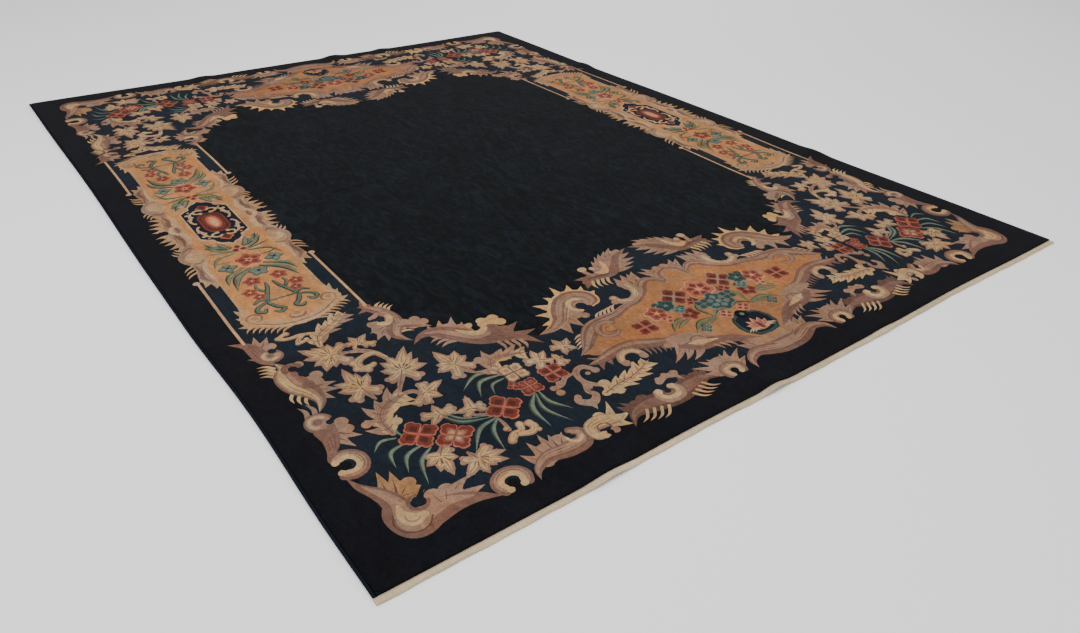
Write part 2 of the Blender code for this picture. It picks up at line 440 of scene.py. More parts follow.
def draw_bottom_chain(d):
    """The chain of scrolls along the near end, from the corner to the medallion."""
    d.next_motif()
    d.c_curl(41, 12.9, 5.4, -90, "margin", 0.88)

    d.next_motif()
    d.disc("tan", 54, 16.2, 3.6, 0.8)
    d.disc("tan", 58.6, 17.4, 2.2)
    d.flames("tan", [(51.4, 13, 47.4, 18.8), (53, 13.6, 51.4, 21.6), (55.4, 14, 55.4, 22.4)], 1.9, -8,
        "umber")
    d.flames("tan", [(56.8, 15.4, 57.6, 20.8), (58, 15.4, 61, 19.6)], 1.6, -6, "umber")
    d.scroll([(46.6, 9, 0), (48.2, 12.2, 1.1), (52.6, 14.2, 2), (58.5, 13.4, 2.6), (63.6, 13.8, 2.5),
        (65, 16.8, 1.7), (63, 18.8, 1.3)], (("mauve", 1), ("tan", 0.45)), 0.5)
    d.stroke("cream", arc_rows(62.6, 16.4, 170, 330, 2, 0.5))
    d.disc("teal_ground", 61.6, 17.4, 0.9)

    d.next_motif()
    d.flames("cream", [(74, 14.8, 78.6, 22.4), (75.6, 15.2, 80.8, 15.4), (74.6, 14.8, 78.4, 11.2)], 1.6,
        8)
    d.disc("cream", 73, 18.4, 1.8)
    d.scroll([(70, 12.2, 1.2), (67.6, 13, 1.6), (68.2, 16.2, 2.1), (71.6, 16.8, 2.6), (75.6, 15.6, 2),
        (78, 15.4, 0.8)], (("tan", 1), ("cream", 0.74)), 0.3)
    d.stroke("mauve", arc_rows(71, 14, 165, -10, 2, 0.25))
    d.disc("cream", 69.4, 12.2, 1.3)
    d.disc("tan", 73, 12.2, 1.3)
    d.disc("margin", 71.2, 12.2, 1)

    d.next_motif()
    x = 94.5
    for side in (-1, 1):
        for out, up, radius in ((13, 15.2, 1.6), (10.6, 16.6, 1.7), (7.6, 17.2, 1.9)):
            d.disc("umber", x + side * out, up, radius)
        for out, long in ((13, 4.2), (10.8, 5.2), (8.6, 3.6)):
            d.flame("umber", x + side * out, 15.4, 90 - side * 34, long, 1.3, side * 10)
    d.scroll([(77.8, 9.8, 0), (81, 13.6, 1.5), (86.2, 14.4, 3.3), (94.5, 13.2, 3.5), (102.8, 14.4, 3.3),
        (107.6, 14.6, 1.6), (111.8, 12, 0)], (("umber", 1), ("mauve", 0.5)), 0.1)
    d.fingers((84.6, 13), (90.4, 11), 4, 5.2, 216, 0.36, "cream", 14)
    d.fingers((104.8, 13), (99.4, 11), 4, 5, -38, 0.36, "cream", -14)
    for side in (-1, 1):
        d.stroke("tan", [(x, 12.2, 1.3), (x + side * 2.4, 12.8, 1.3), (x + side * 3.5, 15, 1.1),
            (x + side * 3, 17, 0.9)])
        d.stroke("cream", [(x, 12.9, 0.8), (x + side * 1.8, 13.4, 0.8), (x + side * 2.8, 15.2, 0.7),
            (x + side * 2.2, 17, 1.1)])
    d.disc("teal_ground", x, 15.8, 1)
    d.stroke("teal_ground", [(x, 16, 0.7), (x, 20, 1.3)])

    d.next_motif()
    d.stroke("tan", [(95.4, 20, 1.1), (98.4, 21, 1), (101, 20.4, 1.2), (102.2, 21, 0.9)])
    for x, y in ((96, 21), (98.8, 21.6), (101.6, 21.2)):
        d.disc("tan", x, y, 1)
    d.flame("tan", 101.2, 20.2, -70, 3.4, 0.8, 8)

    d.next_motif()
    x = 116.2
    for side in (-1, 1):
        d.flames("tan", [(x + side * 3, 14.4, x + side * 9.4, 19.4),
            (x + side * 3.8, 13, x + side * 8.2, 15.4), (x + side * 2, 15.4, x + side * 5.4, 20.8),
            (x + side * 1.2, 16, x + side * 2.6, 20.2)], 1.3, side * -10, "mauve")
    d.disc("tan", x, 15.4, 5, 0.84)
    d.c_curl(116.4, 12.6, 4.4, -90, "margin", 0.82)


def draw_left_chain(d):
    """The chain of scrolls along the left side, from the corner to the cartouche."""
    d.next_motif()
    d.c_curl(12.9, 39.7, 5.4, 180, "margin", 0.96)

    d.next_motif()
    d.disc("tan", 16.2, 51.2, 3)
    d.flames("tan", [(14.6, 51, 17.4, 44.4), (15.6, 51.4, 20.6, 47.4)], 1.7, 8, "umber")
    d.discs("tan", (18.2, 54.8, 1.9), (18.6, 51.6, 1.6))
    d.scroll([(9.2, 43.4, 0), (11.6, 46, 1.3), (13.2, 50, 2.3), (13.4, 54, 3)],
        (("mauve", 1), ("mauve", 0.7)), 0.2)
    d.fingers((11.6, 60), (13.8, 60.2), 2, 6, 94, 0.62, "tan", -16)
    d.disc("mauve", 13.4, 57.4, 3.9)
    d.stroke("tan", arc_rows(13.2, 57.6, -40, 280, 2.2, 1))
    d.stroke("cream", arc_rows(13.2, 57.6, 30, 250, 2.2, 0.5))
    d.disc("teal_ground", 15.8, 56.2, 1)
    d.stroke("teal_ground", [(16, 56.4, 0.6), (18.6, 58.2, 0.6)])

    d.next_motif()
    d.disc("tan", 18.6, 73.6, 3.6)
    d.flames("tan", [(18.4, 71.6, 24.8, 71), (18, 70.4, 24.4, 67.4), (17.2, 69, 21.4, 64.4)], 1.8, -8,
        "umber")
    d.discs("tan", (21.4, 76.6, 1.9), (19.4, 83.8, 1.5))
    d.fingers((13, 72.6), (15.8, 69.6), 3, 4.8, 252, 0.46, "cream", -16)
    d.fingers((12.2, 81), (13.2, 85.6), 4, 4.8, 146, 0.46, "cream", -16)
    d.scroll([(15.2, 61, 0), (17.6, 65.4, 1.5), (17, 70.5, 2.8), (15, 75.2, 3.8), (14.4, 80.2, 3.5),
        (15.2, 84.4, 1.6), (13.8, 88.4, 0)], (("mauve", 1), ("tan", 0.66), ("cream", 0.30)), 0.5)
    d.stroke("mauve", arc_rows(17, 82.6, 200, 10, 2.2, 0.8))
    d.disc("mauve", 17.8, 73.6, 1.8)
    d.discs("teal_ground", (17.2, 82.4, 1.3), (18.6, 79, 1.3))
    d.stroke("teal_ground", [(17.6, 81.4, 0.5), (18.8, 79.4, 0.5), (21.2, 80.2, 0.9)])

    d.next_motif()
    d.disc("tan", 14.2, 97, 2.8)
    d.flames("tan", [(12.4, 96.4, 14.4, 103.6), (13.8, 96.6, 17.6, 101.6)], 1.7, 8, "umber")
    d.disc("tan", 16.6, 96.4, 1.7)
    d.scroll([(13.8, 87.6, 0.6), (12.4, 91, 1.9), (12.2, 95.6, 2.3), (11, 100.2, 1.5), (6.8, 103.6, 0)],
        (("mauve", 1), ("mauve", 0.6)), -0.3)
    d.flame("mauve", 11.6, 91.6, 146, 3.6, 0.8, 6)
    d.disc("mauve", 14.9, 91.6, 3.4)
    d.stroke("tan", arc_rows(14.8, 91.8, 110, 350, 1.9, 0.9))
    d.stroke("cream", arc_rows(14.8, 91.8, 120, 300, 2, 0.4))
    d.disc("teal_ground", 16, 93.8, 1.2)


def draw_crest_scrolls(d):
    """The scrolls between the border and the plain field, up to the medallion's crest."""
    d.next_motif()
    rows = [(48.2, 104, 0.5), (47.8, 100.4, 1.2), (50.2, 96.6, 2), (52, 91.8, 2.3), (51.2, 87, 2.8),
        (48.8, 82.4, 2), (49.6, 79, 0.9), (51.6, 76.2, 0)]
    d.fingers((50.2, 97.6), (52.6, 94), 4, 4.6, 46, 0.46, "cream", 16)
    d.fingers((52, 86.4), (50.4, 82.4), 4, 4.4, -24, 0.46, "cream", 14)
    d.flames("mauve", [(49, 99.2, 44.4, 98), (48.8, 100.6, 45.6, 101.6)], 1.2, 8, None)
    d.disc("tan", 47.4, 86.8, 3.6)
    d.flames("tan", [(47.6, 86, 43, 82), (47.4, 87, 42.8, 86.4), (48.6, 84.6, 45.6, 80)], 1.8, 8,
        "mauve")
    d.disc("tan", 45.8, 90.4, 1.9)
    d.scroll(rows, (("mauve", 1), ("tan", 0.40)), 0.4)
    d.stroke("cream", [(50.6, 94.4, 0.4), (51.2, 91, 1), (49.6, 88.4, 1), (47.4, 89.4, 0.9)])
    d.disc("cream", 47, 93.4, 1.3)
    d.stroke("tan", [(47, 93.6, 1), (49.4, 94.8, 0.8), (50.6, 93.4, 0.6)])
    d.disc("teal_ground", 48.6, 91.8, 1.4)
    d.stroke("teal_ground", [(48, 91.8, 0.8), (45, 92.4, 0.6)])

    d.next_motif()
    d.disc("tan", 55.6, 84, 2.6)
    for x, y in ((54, 86.2), (57.2, 86), (58.8, 83.4)):
        d.disc("tan", x, y, 1.7)
    d.flame("tan", 56.2, 83.2, -42, 5, 1.3, 8)
    d.stroke("mauve", [(51.4, 85.2, 0.2), (54, 83.4, 0.8), (57, 81.8, 0.5)])

    d.next_motif()
    rows = [(50.4, 74.2, 0), (54.6, 77, 1.3), (59, 76.2, 2.6), (63.4, 71.6, 3.4), (68.4, 66, 3.2),
        (74.6, 63.2, 3), (79, 59.2, 1.6), (82.2, 53.4, 0)]
    d.fingers((60.6, 72.6), (62.2, 69), 3, 6, 186, 0.62, "tan", -14)
    d.flames("tan", [(58.4, 75.4, 58.6, 80.4), (60.6, 74, 63, 81.2), (63.4, 72, 67.2, 80.8),
        (65.2, 70, 68.4, 76.6)], 2.1, -10, "umber")
    d.flames("mauve", [(75.6, 64.6, 82.4, 67.2), (77, 61.6, 84.6, 60.8)], 1.8, 8, "umber")
    d.discs("tan", (62.8, 75, 3.4), (65.8, 72.4, 3.6))
    d.disc("mauve", 76.4, 65.2, 2.8)
    d.disc("pale_gold", 75.4, 71.6, 2.6)
    for x, y in ((73.6, 73.4), (77.4, 73), (78.2, 70)):
        d.disc("pale_gold", x, y, 1.8)
    d.disc("mauve", 73.8, 67.8, 2.8)
    d.scroll(rows, (("mauve", 1), ("mauve", 0.42)), -0.3)
    d.fingers((71.6, 61.2), (77.4, 58.6), 4, 4.8, 262, 0.5, "tan", 14)
    d.stroke("tan",
        [(56, 77.2, 0.3), (60, 75.4, 0.9), (64, 71, 1.2), (67.6, 67.4, 1.3), (71.4, 66.8, 1)])
    d.stroke("cream",
        [(64.4, 73.4, 0.3), (66.8, 70, 1.1), (69.8, 68.6, 1.3), (72.2, 70, 1), (72, 72.2, 0.7)])
    d.disc("cream", 69.2, 73.4, 1.4)
    d.disc("field", 69.8, 71.4, 1.1)
    d.stroke("field", [(70.2, 71.8, 0.7), (71.2, 74.6, 0.7)])

    d.next_motif()
    rows = [(83.2, 57.2, 0), (88, 57.6, 1.5), (92.4, 60, 2.6), (95.6, 64.4, 3.3), (99.6, 68.4, 3.2),
        (104.4, 69.6, 2.9), (108.2, 67, 2.8), (108.6, 63.4, 2.4), (106.6, 61.6, 1.3)]
    d.flames("pale_gold", [(92, 59.6, 86.8, 60.6), (93.6, 62.6, 88.4, 66.2), (95, 66, 90.8, 71.2),
        (98.2, 68.4, 96.4, 73.2), (101, 69, 101.8, 77.2), (104, 69.6, 107.4, 75.2),
        (106.8, 68.4, 110.8, 72), (108.6, 66, 112.8, 67.6)], 1.8, 14, "tan")
    d.flames("tan", [(92.6, 58.8, 91.8, 52), (95.6, 60.6, 97.2, 52.8)], 2.1, 8, "mauve")
    d.discs("tan", (98.6, 60.6, 3), (101, 57.8, 1.5))
    d.scroll(rows, (("pale_gold", 1), ("mauve", 0.80), ("tan", 0.50), ("mauve", 0.10)), -0.55)
    d.disc("tan", 103.2, 64.4, 3.8)
    d.stroke("cream", arc_rows(103, 63.8, 250, 40, 3.4, 0.9, 3, 0.6))
    d.stroke("mauve", arc_rows(103.2, 63.2, 230, 20, 2.3, 0.25))
    d.disc("teal_ground", 103.2, 62.4, 1.9)
    d.stroke("teal_ground", [(103.4, 62.2, 1.2), (105.6, 59.8, 0.9)])

    d.next_motif()
    rows = [(121, 72.6, 1.5), (125.6, 73.8, 2.2), (129.4, 77, 2.4), (133.4, 80.8, 1.8),
        (140.2, 83.8, 0)]
    d.stroke("tan", [(122.4, 76, 1.4), (126.4, 78.8, 3.2), (130.8, 81.4, 2.8), (136.4, 84, 1)])
    d.flames("tan", [(123.6, 77.6, 124.2, 83), (125.6, 79, 127.2, 85), (127.8, 80.6, 129.6, 86),
        (130, 82, 132.6, 86.4), (132.2, 82.6, 135.6, 87.4)], 1.4, -10, "mauve")
    d.flames("tan", [(126.2, 73.8, 134.2, 72.4), (128.8, 75.8, 136.4, 74.6), (130.8, 77.6, 138.6, 77),
        (133, 80, 139.4, 80.6)], 1.6, 10, "mauve")
    d.scroll(rows, (("tan", 1), ("mauve", 0.6)), -0.2)
    d.flames("mauve", [(116.4, 73.8, 111.2, 76), (115.6, 72.8, 111.6, 69.4)], 1.7, 8, None)
    d.stroke("mauve",
        [(113.4, 72.8, 1), (117, 74, 2.2), (121.4, 73.4, 2.4), (126, 73.6, 2), (129.4, 76.4, 1)])
    d.stroke("umber", [(114, 73.4, 0.1), (118.4, 73.8, 0.5), (123.4, 72.8, 0.4)])
    d.stroke("tan", [(118.4, 75, 0.8), (117.6, 78.4, 0.9), (118.6, 80.2, 1.2)])
    d.stroke("tan", [(120.8, 75, 0.8), (121.4, 78, 0.9)])
    d.stroke("pale_gold",
        [(120.2, 75.8, 0.4), (123.2, 74.8, 1.3), (125.6, 77.6, 0.9), (126.4, 81, 0.3)])
    d.discs("cream", (117.8, 80, 1.5), (121.2, 78.8, 1.1))
    d.fingers((115.8, 71.8), (121.4, 71), 4, 4.2, 258, 0.46, "cream", -16)


def draw_sprays(d):
    """Leaves, blossoms and blades on the teal ground round the corner."""
    # Stems that join the leaves. Columns: x, y and half width of each point
    for rows in (
            [(33, 55, 0.8), (36.6, 55.9, 0.8), (39.6, 55.4, 0.8), (40.8, 53, 0.7)],
            [(34, 81.2, 0.7), (37, 79.8, 1), (39.8, 76.4, 1), (41.2, 72, 0.7)],
            [(29.4, 94, 0.8), (28.6, 90, 0.7), (28.4, 85, 0.5)],
            [(54.8, 56, 0.3), (57.4, 53.2, 0.5), (60.4, 50.2, 0.4)],
            [(51.2, 34, 0.3), (51.4, 31, 0.5), (51, 28, 0.7)],
            [(47, 38.4, 0.7), (49.2, 36.6, 0.6), (51.4, 34.4, 0.4)],
            [(85, 35.8, 0.9), (83.4, 37.8, 1), (80.8, 37.2, 1), (79.4, 34.2, 0.9), (80.2, 30.6, 0.9),
             (83.8, 27.2, 0.7)],
            [(80, 36.8, 0.5), (76.6, 36.6, 0.7), (73.8, 34.8, 0.9), (71.4, 34.4, 0.9)],
            [(79.2, 35.6, 0.4), (79, 31.6, 0.7), (77.6, 28.4, 0.8), (78.4, 26, 1), (75.6, 23.9, 1.4),
             (72.9, 26.2, 1.2), (73.8, 28, 1)]):
        d.next_motif()
        d.scroll(rows, (("tan", 1),), 0.3)
        d.combed(rows, 1, "mauve")
    for x, y, radius in ((71.2, 32.1, 1.3), (70.8, 34.6, 1.1), (73.6, 35.6, 1.1), (78.9, 29.8, 1.3),
            (85.4, 34.6, 1.3), (82.8, 34.6, 0.8)):
        d.disc("tan", x, y, radius)
    d.flame("tan", 75.4, 24.4, -100, 3.6, 1.2)

    # Blades in sheaves. Columns: root, middle and tip of each, then its half width
    d.next_motif()
    d.blade([(26.6, 41.6, 22.8, 42.5, 19.6, 39.8, 0.6), (27.4, 38.8, 22.8, 37.4, 21.4, 32, 0.7),
        (31, 35.8, 25.6, 34.4, 22.9, 28.8, 0.7), (31.8, 33.8, 27.4, 30.6, 24.8, 23, 0.7),
        (28.2, 41.8, 28, 44.6, 30.2, 46.6, 0.6), (40.2, 42, 43.4, 37, 51.6, 34.2, 0.7),
        (41.2, 42.4, 44.4, 38, 51.4, 35, 0.6), (51.2, 33.8, 45.2, 32.4, 39.6, 25.8, 0.8),
        (51.4, 33.6, 47.6, 29.8, 45.8, 22.2, 0.7), (64.9, 35.8, 60.9, 31, 60.4, 22.4, 0.9),
        (65.4, 35.8, 63.4, 29, 66.6, 20.8, 0.7), (66.6, 35.8, 66.4, 30.8, 69.8, 25, 0.8),
        (62.4, 50.2, 56.4, 51.6, 50.2, 47.8, 0.7), (62.2, 48.2, 56, 48.4, 52.6, 42.6, 0.8),
        (62.4, 46.2, 58.2, 45.6, 56.4, 41.6, 0.6)])

    # Leaves. Rows: stalk, heart, tips of the pointed lobes, round lobes, half width
    for stalk, heart, tips, rounds, half in (
            ((34, 81.2), (28.6, 82.6), ((21.8, 90.2), (25.4, 89), (30.2, 88.4), (21.2, 84.6),
             (22.6, 80.4), (24.4, 76.2), (27.6, 76.6)), ((33, 85.4, 1.7), (31.2, 78.2, 1.9)), 2.2),
            ((29.9, 58.2), (28.9, 64.4),
             ((28.3, 75.2), (23.2, 69.7), (22.7, 66), (33.4, 69.4), (30.6, 71.4)),
             ((26, 61.1, 1.9), (31.9, 61.7, 2)), 2.1),
            ((36.3, 57), (41.7, 65.2), ((47.8, 75.3), (38.2, 71.8), (36.5, 68.3), (41, 73.8),
             (48.3, 71.6), (48.3, 68), (49.2, 64.2)), ((37.5, 63.2, 1.6), (43.9, 61, 1.9)), 2.1),
            ((40.4, 52.6), (42, 53), ((48.6, 55.4), (45, 49.2)),
             ((42.8, 56.2, 1.6), (38.1, 50.5, 1.4), (40.6, 49.4, 1.3)), 1.8),
            ((57.6, 52.8), (54.8, 59.4), ((53, 68.2), (49, 58.6), (50.4, 62), (58.3, 65), (60, 61.2)),
             ((53.2, 54.6, 1.8), (58.6, 56.4, 1.5)), 2.2),
            ((34.8, 33.2), (32, 29.6),
             ((31.2, 22.2), (27.4, 28.4), (29.2, 25), (35.6, 27), (28.4, 31.8)), ((34.6, 30.6, 1.4),),
             1.9),
            ((38, 27), (38.8, 23.8),
             ((32.8, 19.6), (38.4, 17.8), (41.4, 19.2), (45, 19.4), (46.2, 22.4)),
             ((42.4, 25.9, 1.5), (36, 25, 1.4)), 1.8),
            ((41, 41.2), (40.3, 43), ((40.5, 47.6), (36, 40)),
             ((37, 44.4, 1.6), (43.6, 43.8, 1.5), (43.4, 42.4, 1.2)), 1.5),
            ((38.6, 83), (37.8, 83.9), ((36.6, 88.4), (35.2, 80.6), (41.8, 87.2)),
             ((35.4, 84.6, 1.1), (39.2, 81.6, 1), (40.9, 81.6, 1.4)), 1.4),
            ((50, 38), (48.2, 40.2), ((49.6, 46), (43.6, 41.2), (51.8, 37.4)),
             ((50.6, 40.4, 1.4), (45.8, 38.6, 1)), 1.5),
            ((78, 46), (75.8, 47.4), ((76.4, 52.6), (79.6, 50.4)),
             ((72.9, 48.2, 1.7), (74.6, 44.8, 1.6), (78, 45.4, 1.2)), 1.6),
            ((82, 45), (80.6, 44.2), ((80.4, 47.8),), ((79.6, 42.6, 1.3), (81.6, 42.4, 1)), 1.2),
            ((86, 46), (85.4, 48.4), ((84.6, 53.4), (88.8, 51.6), (88.2, 45.4), (83.6, 44.6)),
             ((82.8, 49.6, 1.3), (87, 49.6, 1.2)), 1.4)):
        d.next_motif()
        d.leaf(stalk, heart, tips, rounds, half)
    d.discs("teal_ground", (37.4, 82, 0.9), (48.4, 38.4, 0.7))

    # Leaves that bend over. Columns: rib, tones, tongues and their lengths on its two sides
    for rows, tones, counts, reaches, half, lean in (
            ([(26.8, 43.4, 0.8), (26.6, 48.6, 1.1), (28.4, 52.6, 1.8), (32, 54.8, 1.6),
             (38.2, 55.8, 0)], ("tan", "cream"), (6, 6), (6.8, 7.2), 1.8, 36),
            ([(63, 48.4, 0.9), (63, 53.2, 1.4), (66.6, 55.6, 1.7), (75.4, 52.2, 0)], ("tan", "cream"),
             (6, 5), (6.2, 4.4), 1.7, 36),
            ([(81, 24.8, 1.2), (86, 26, 1.7), (92, 26.4, 1.6), (100.8, 29.6, 0)], ("cream", "cream"),
             (6, 7), (5.6, 5.2), 1.5, 42),
            ([(28.2, 89, 0.8), (29.6, 93.6, 1.4), (33.4, 96.4, 2), (42.4, 101.6, 0)], ("cream", "tan"),
             (6, 6), (5.6, 6.4), 1.6, 42)):
        d.next_motif()
        d.sprig(rows, tones, counts, reaches, half, lean)
        d.combed(rows, 3, "mauve")
    for tone, x, y, radius in (("tan", 23, 50.2, 1.4), ("cream", 30, 47.2, 1.5), ("tan", 61.6, 57, 1.6),
            ("cream", 83.4, 28.4, 1.7), ("cream", 84.8, 23.6, 1.5)):
        d.disc(tone, x, y, radius)

    # Curled ends and scalloped curls
    for rows, knobs in (
            ([(29.4, 96, 0.7), (26, 97.3, 0.8), (22.4, 97.2, 0.8), (20, 98.6, 0.9), (22, 100.2, 0.7)],
             ((19.8, 98.8, 1.1), (22.6, 100, 1.1))),
            ([(27, 97, 0.6), (24.6, 95.4, 0.8), (24, 93.6, 0.9), (26.2, 93.8, 0.7)],
             ((23.6, 93.4, 0.9), (26.5, 94.3, 0.9))),
            ([(41.4, 73.4, 0.4), (39, 77, 1), (35.4, 76.8, 1.2), (33, 75, 1.5), (33.2, 72, 1.5),
             (36.4, 72, 1)],
             ((32.2, 75.6, 1.4), (31.9, 72.6, 1.3), (34.4, 70.7, 1.3), (36.8, 72.4, 1))),
            ([(54.4, 28.2, 1.2), (53.4, 26, 0.9), (51.2, 25.8, 1.2), (49.4, 24.4, 1.2)],
             ((49.2, 24, 1.2), (50.6, 28.6, 0.9))),
            ([(52.4, 25, 1), (55.2, 24, 1.1), (57, 25.4, 1.2), (56.4, 27.2, 1.2)],
             ((57.2, 23.8, 0.9), (56.6, 27.2, 1.3))),
            ([(62.8, 51.6, 0.8), (64.4, 49.9, 0.9), (66.4, 50.2, 0.8)], ())):
        d.next_motif()
        d.stroke("tan", rows)
        d.discs("tan", *knobs)
        d.stroke("cream", [(x, y, 0.6 * w) for x, y, w in rows])
        for x, y, radius in knobs:
            d.disc("cream", x, y, 0.6 * radius)
        d.combed(rows, 1, "mauve")

    # Square red flowers and a tan one. Columns: x, y, radius, core and turn
    for x, y, radius, core, turn in ((31.8, 39.5, 5.5, "dark_red", 0),
            (66, 39.2, 4.2, "terracotta", 45), (75.2, 40.4, 4.5, "dark_red", 45),
            (62.6, 41.9, 2, "red", 0), (38.9, 33.9, 5.4, "terracotta", 0),
            (55.2, 36, 5.5, "dark_red", 0)):
        d.square_flower(x, y, radius, "red", core, "salmon", turn)
    d.square_flower(38.9, 33.9, 3, "tan", "pale_pink", "terracotta")
    d.square_flower(66.4, 46.8, 4.6, "cream", "tan", "mauve", 45)
    d.disc("mauve", 66.4, 46.8, 0.6)


def medallion_edge():
    """The lobed edge of the gold medallion, up to the quarter's middle line."""
    below = [(MIDDLE_X, 12.5), (133, 14.5), (131.5, 19.5), (126, 24), (117, 28), (110, 33),
        (104.5, 36.5), (98, 38.8), (92.5, 39.4), (87.2, 42)]
    above = [(91.5, 45.6), (95, 50), (100, 52.6), (108, 53.2), (118, 55), (124, 58.2), (127.4, 62),
        (131.2, 63.8), (135, 61.8), (MIDDLE_X, 66.4)]
    return below + above


def draw_medallion(d):
    """The gold medallion of the near end: its scrolled rim, its flowers and its vase."""
    d.next_motif()
    edge = medallion_edge()
    d.fill("gold", edge + [(PAST_X, 66.4), (PAST_X, 12.5)])

    # The crest at the middle, and the leaf that leans towards it
    d.disc("tan", 136.6, 64.4, 2.8)
    d.flames("tan", [(135.6, 64.4, 132, 68.6), (136.8, 65, 134.4, 69.6)], 1.3, -8, "umber")
    rows = arc_rows(MIDDLE_X, 60.6, 190, -10, 5.2, 1.9)
    d.scroll(rows, (("tan", 1), ("mauve", 0.66), ("tan", 0.3)), 0.4)
    d.discs("tan", (139, 66.8, 1.5), (142.4, 66.8, 1.5), (125.6, 63.4, 3.6), (122.6, 65.2, 1.9))
    d.flames("tan", [(123.4, 63, 122.8, 70), (125.6, 63.6, 126, 70.4), (127.6, 63.6, 130.6, 70)], 2.2,
        -8, "umber")
    d.flames("tan", [(124.6, 66, 121.4, 67.4), (127.6, 66, 128.4, 69.8)], 1.1, -8, None)

    # The left arm, from the tip along the upper edge, with its volute and fingers
    d.fingers((102.4, 53.4), (109.4, 54.2), 5, 5.2, 44, 0.42, "cream_tan", 16)
    d.fingers((95.2, 50), (93, 45.6), 4, 5.6, 188, 0.46, "cream_tan", -12)
    d.fingers((94.8, 40.4), (91.6, 37.8), 3, 5.4, 152, 0.36, "tan", 12)
    rows = [(86.4, 41.9, 0), (90.4, 44.2, 1.4), (94.2, 48, 2.5), (98.6, 51.2, 3), (104, 52.4, 2.5),
        (109, 52.8, 1.8), (114.4, 54.4, 1.5), (119.6, 55.2, 1.6), (124.2, 58.2, 1.8),
        (127.4, 61.8, 1.8), (131.2, 63.2, 1.5), (135.6, 60.2, 0.8)]
    d.scroll(rows, (("mauve", 1), ("tan", 0.60), ("mauve", 0.18)), 0.6)
    d.disc("gold", 103.2, 47.4, 3.4)
    d.stroke("mauve", arc_rows(101.6, 47.4, 40, 318, 4.3, 1.2, 2.8, 0.8))
    d.stroke("tan", arc_rows(101.6, 47.4, 40, 318, 4.3, 0.8, 2.8, 0.4))
    d.disc("ochre", 102.4, 47.4, 1.2)
    d.stroke("umber", arc_rows(102.2, 47.4, 60, 300, 1.6, 0.14))
    rows = [(114.8, 60.4, 1.2), (115.2, 57.8, 1.4), (118.6, 56.4, 1.5), (122.2, 58, 1.7),
        (123.6, 61.2, 1.7), (123.4, 64.4, 1)]
    d.scroll(rows, (("tan", 1), ("cream", 0.5)), 0.3)
    d.discs("tan", (114.6, 60.2, 1.5), (113.4, 58.2, 1.2))
    d.disc("cream", 114.6, 60.2, 0.8)
    d.disc("teal_ground", 118.8, 59.4, 1.5)

    # Below the left tip: an arched curl, then a leafy scroll down to the base
    d.flames("mauve", [(89.4, 36.8, 87.4, 33), (91.8, 37, 91, 33.4)], 1.1, 6, None)
    d.fingers((103.4, 34.4), (109.6, 32.8), 5, 4, 262, 0.36, "mauve", 12)
    rows = [(85.2, 37.4, 0), (88.6, 37, 1.4), (92.8, 37.6, 2), (97.8, 38.2, 2.2), (102.6, 37.2, 2.5),
        (106.8, 34.9, 2.4), (111.6, 33.4, 1.6), (116.6, 34.6, 0.2)]
    d.scroll(rows, (("umber", 1), ("mauve", 0.88), ("tan", 0.28)), 0.4)
    d.disc("teal_ground", 97.6, 33, 2.2)
    rows = arc_rows(97.6, 32.6, 196, -16, 3.6, 1.2)
    d.scroll(rows, (("tan", 1), ("cream", 0.55)), -0.3)
    d.discs("tan", (94.4, 32, 1.3), (100.9, 32, 1.3))
    d.stroke("tan", [(109.4, 31.4, 1), (113.4, 31.4, 2.6), (118.4, 30.2, 3), (123.6, 27.4, 2.1)])
    d.flames("tan", [(112.8, 29.8, 105.4, 23.8), (114.4, 27.8, 109.2, 23), (117.6, 26.2, 111, 21.8)],
        1.5, -18, "mauve")
    rows = [(112.4, 28.6, 0.8), (114.6, 27.6, 1.8), (118.4, 26.4, 2.6), (123.4, 25.4, 2.3),
        (128.6, 23.4, 1.8), (134.6, 19.6, 0.6)]
    d.stroke("mauve", rows)
    d.combed(rows, 3)
    d.disc("tan", 119, 27.9, 2.8, 0.8)
    d.stroke("mauve", arc_rows(119.2, 28, 160, 20, 2.6, 0.3))
    d.stroke("cream", [(115.6, 28.6, 0.3), (118.4, 27.6, 1.1), (121.6, 26.6, 0.8), (124.6, 25.8, 0.2)])
    d.fingers((121.4, 24.2), (125.6, 23.2), 3, 3.6, 290, 0.36, "tan", 14)

    # The base: a wide cup of nested bands, with a leafy curl beside it
    d.disc("tan", 131.4, 17.2, 2.4)
    d.flames("tan", [(130, 16.4, 126.2, 20.4), (130.8, 17.4, 128.6, 21.4)], 1.4, 8, "mauve")
    d.disc("tan", 133.8, 18.4, 1.5)
    rows = [(122.9, 9, 0), (124.4, 12.8, 1.2), (128.4, 14.8, 2), (133, 13.6, 2.6), (137, 12.4, 2.6),
        (PAST_X, 12, 2.6)]
    d.scroll(rows, (("mauve", 1), ("tan", 0.4)), 0.3)
    for tone, low, high in (("tan", 13.2, 14.8), ("mauve", 14.8, 15.8), ("tan", 15.8, 17),
            ("ochre", 17, 18.6), ("tan", 18.6, 19.4)):
        reach = 136.4 - 0.9 * (low - 13)
        d.fill(tone, [(reach, low + 1.4), (reach + 2.2, low), (PAST_X, low), (PAST_X, high),
            (reach + 2.2, high), (reach, high + 1.4)])

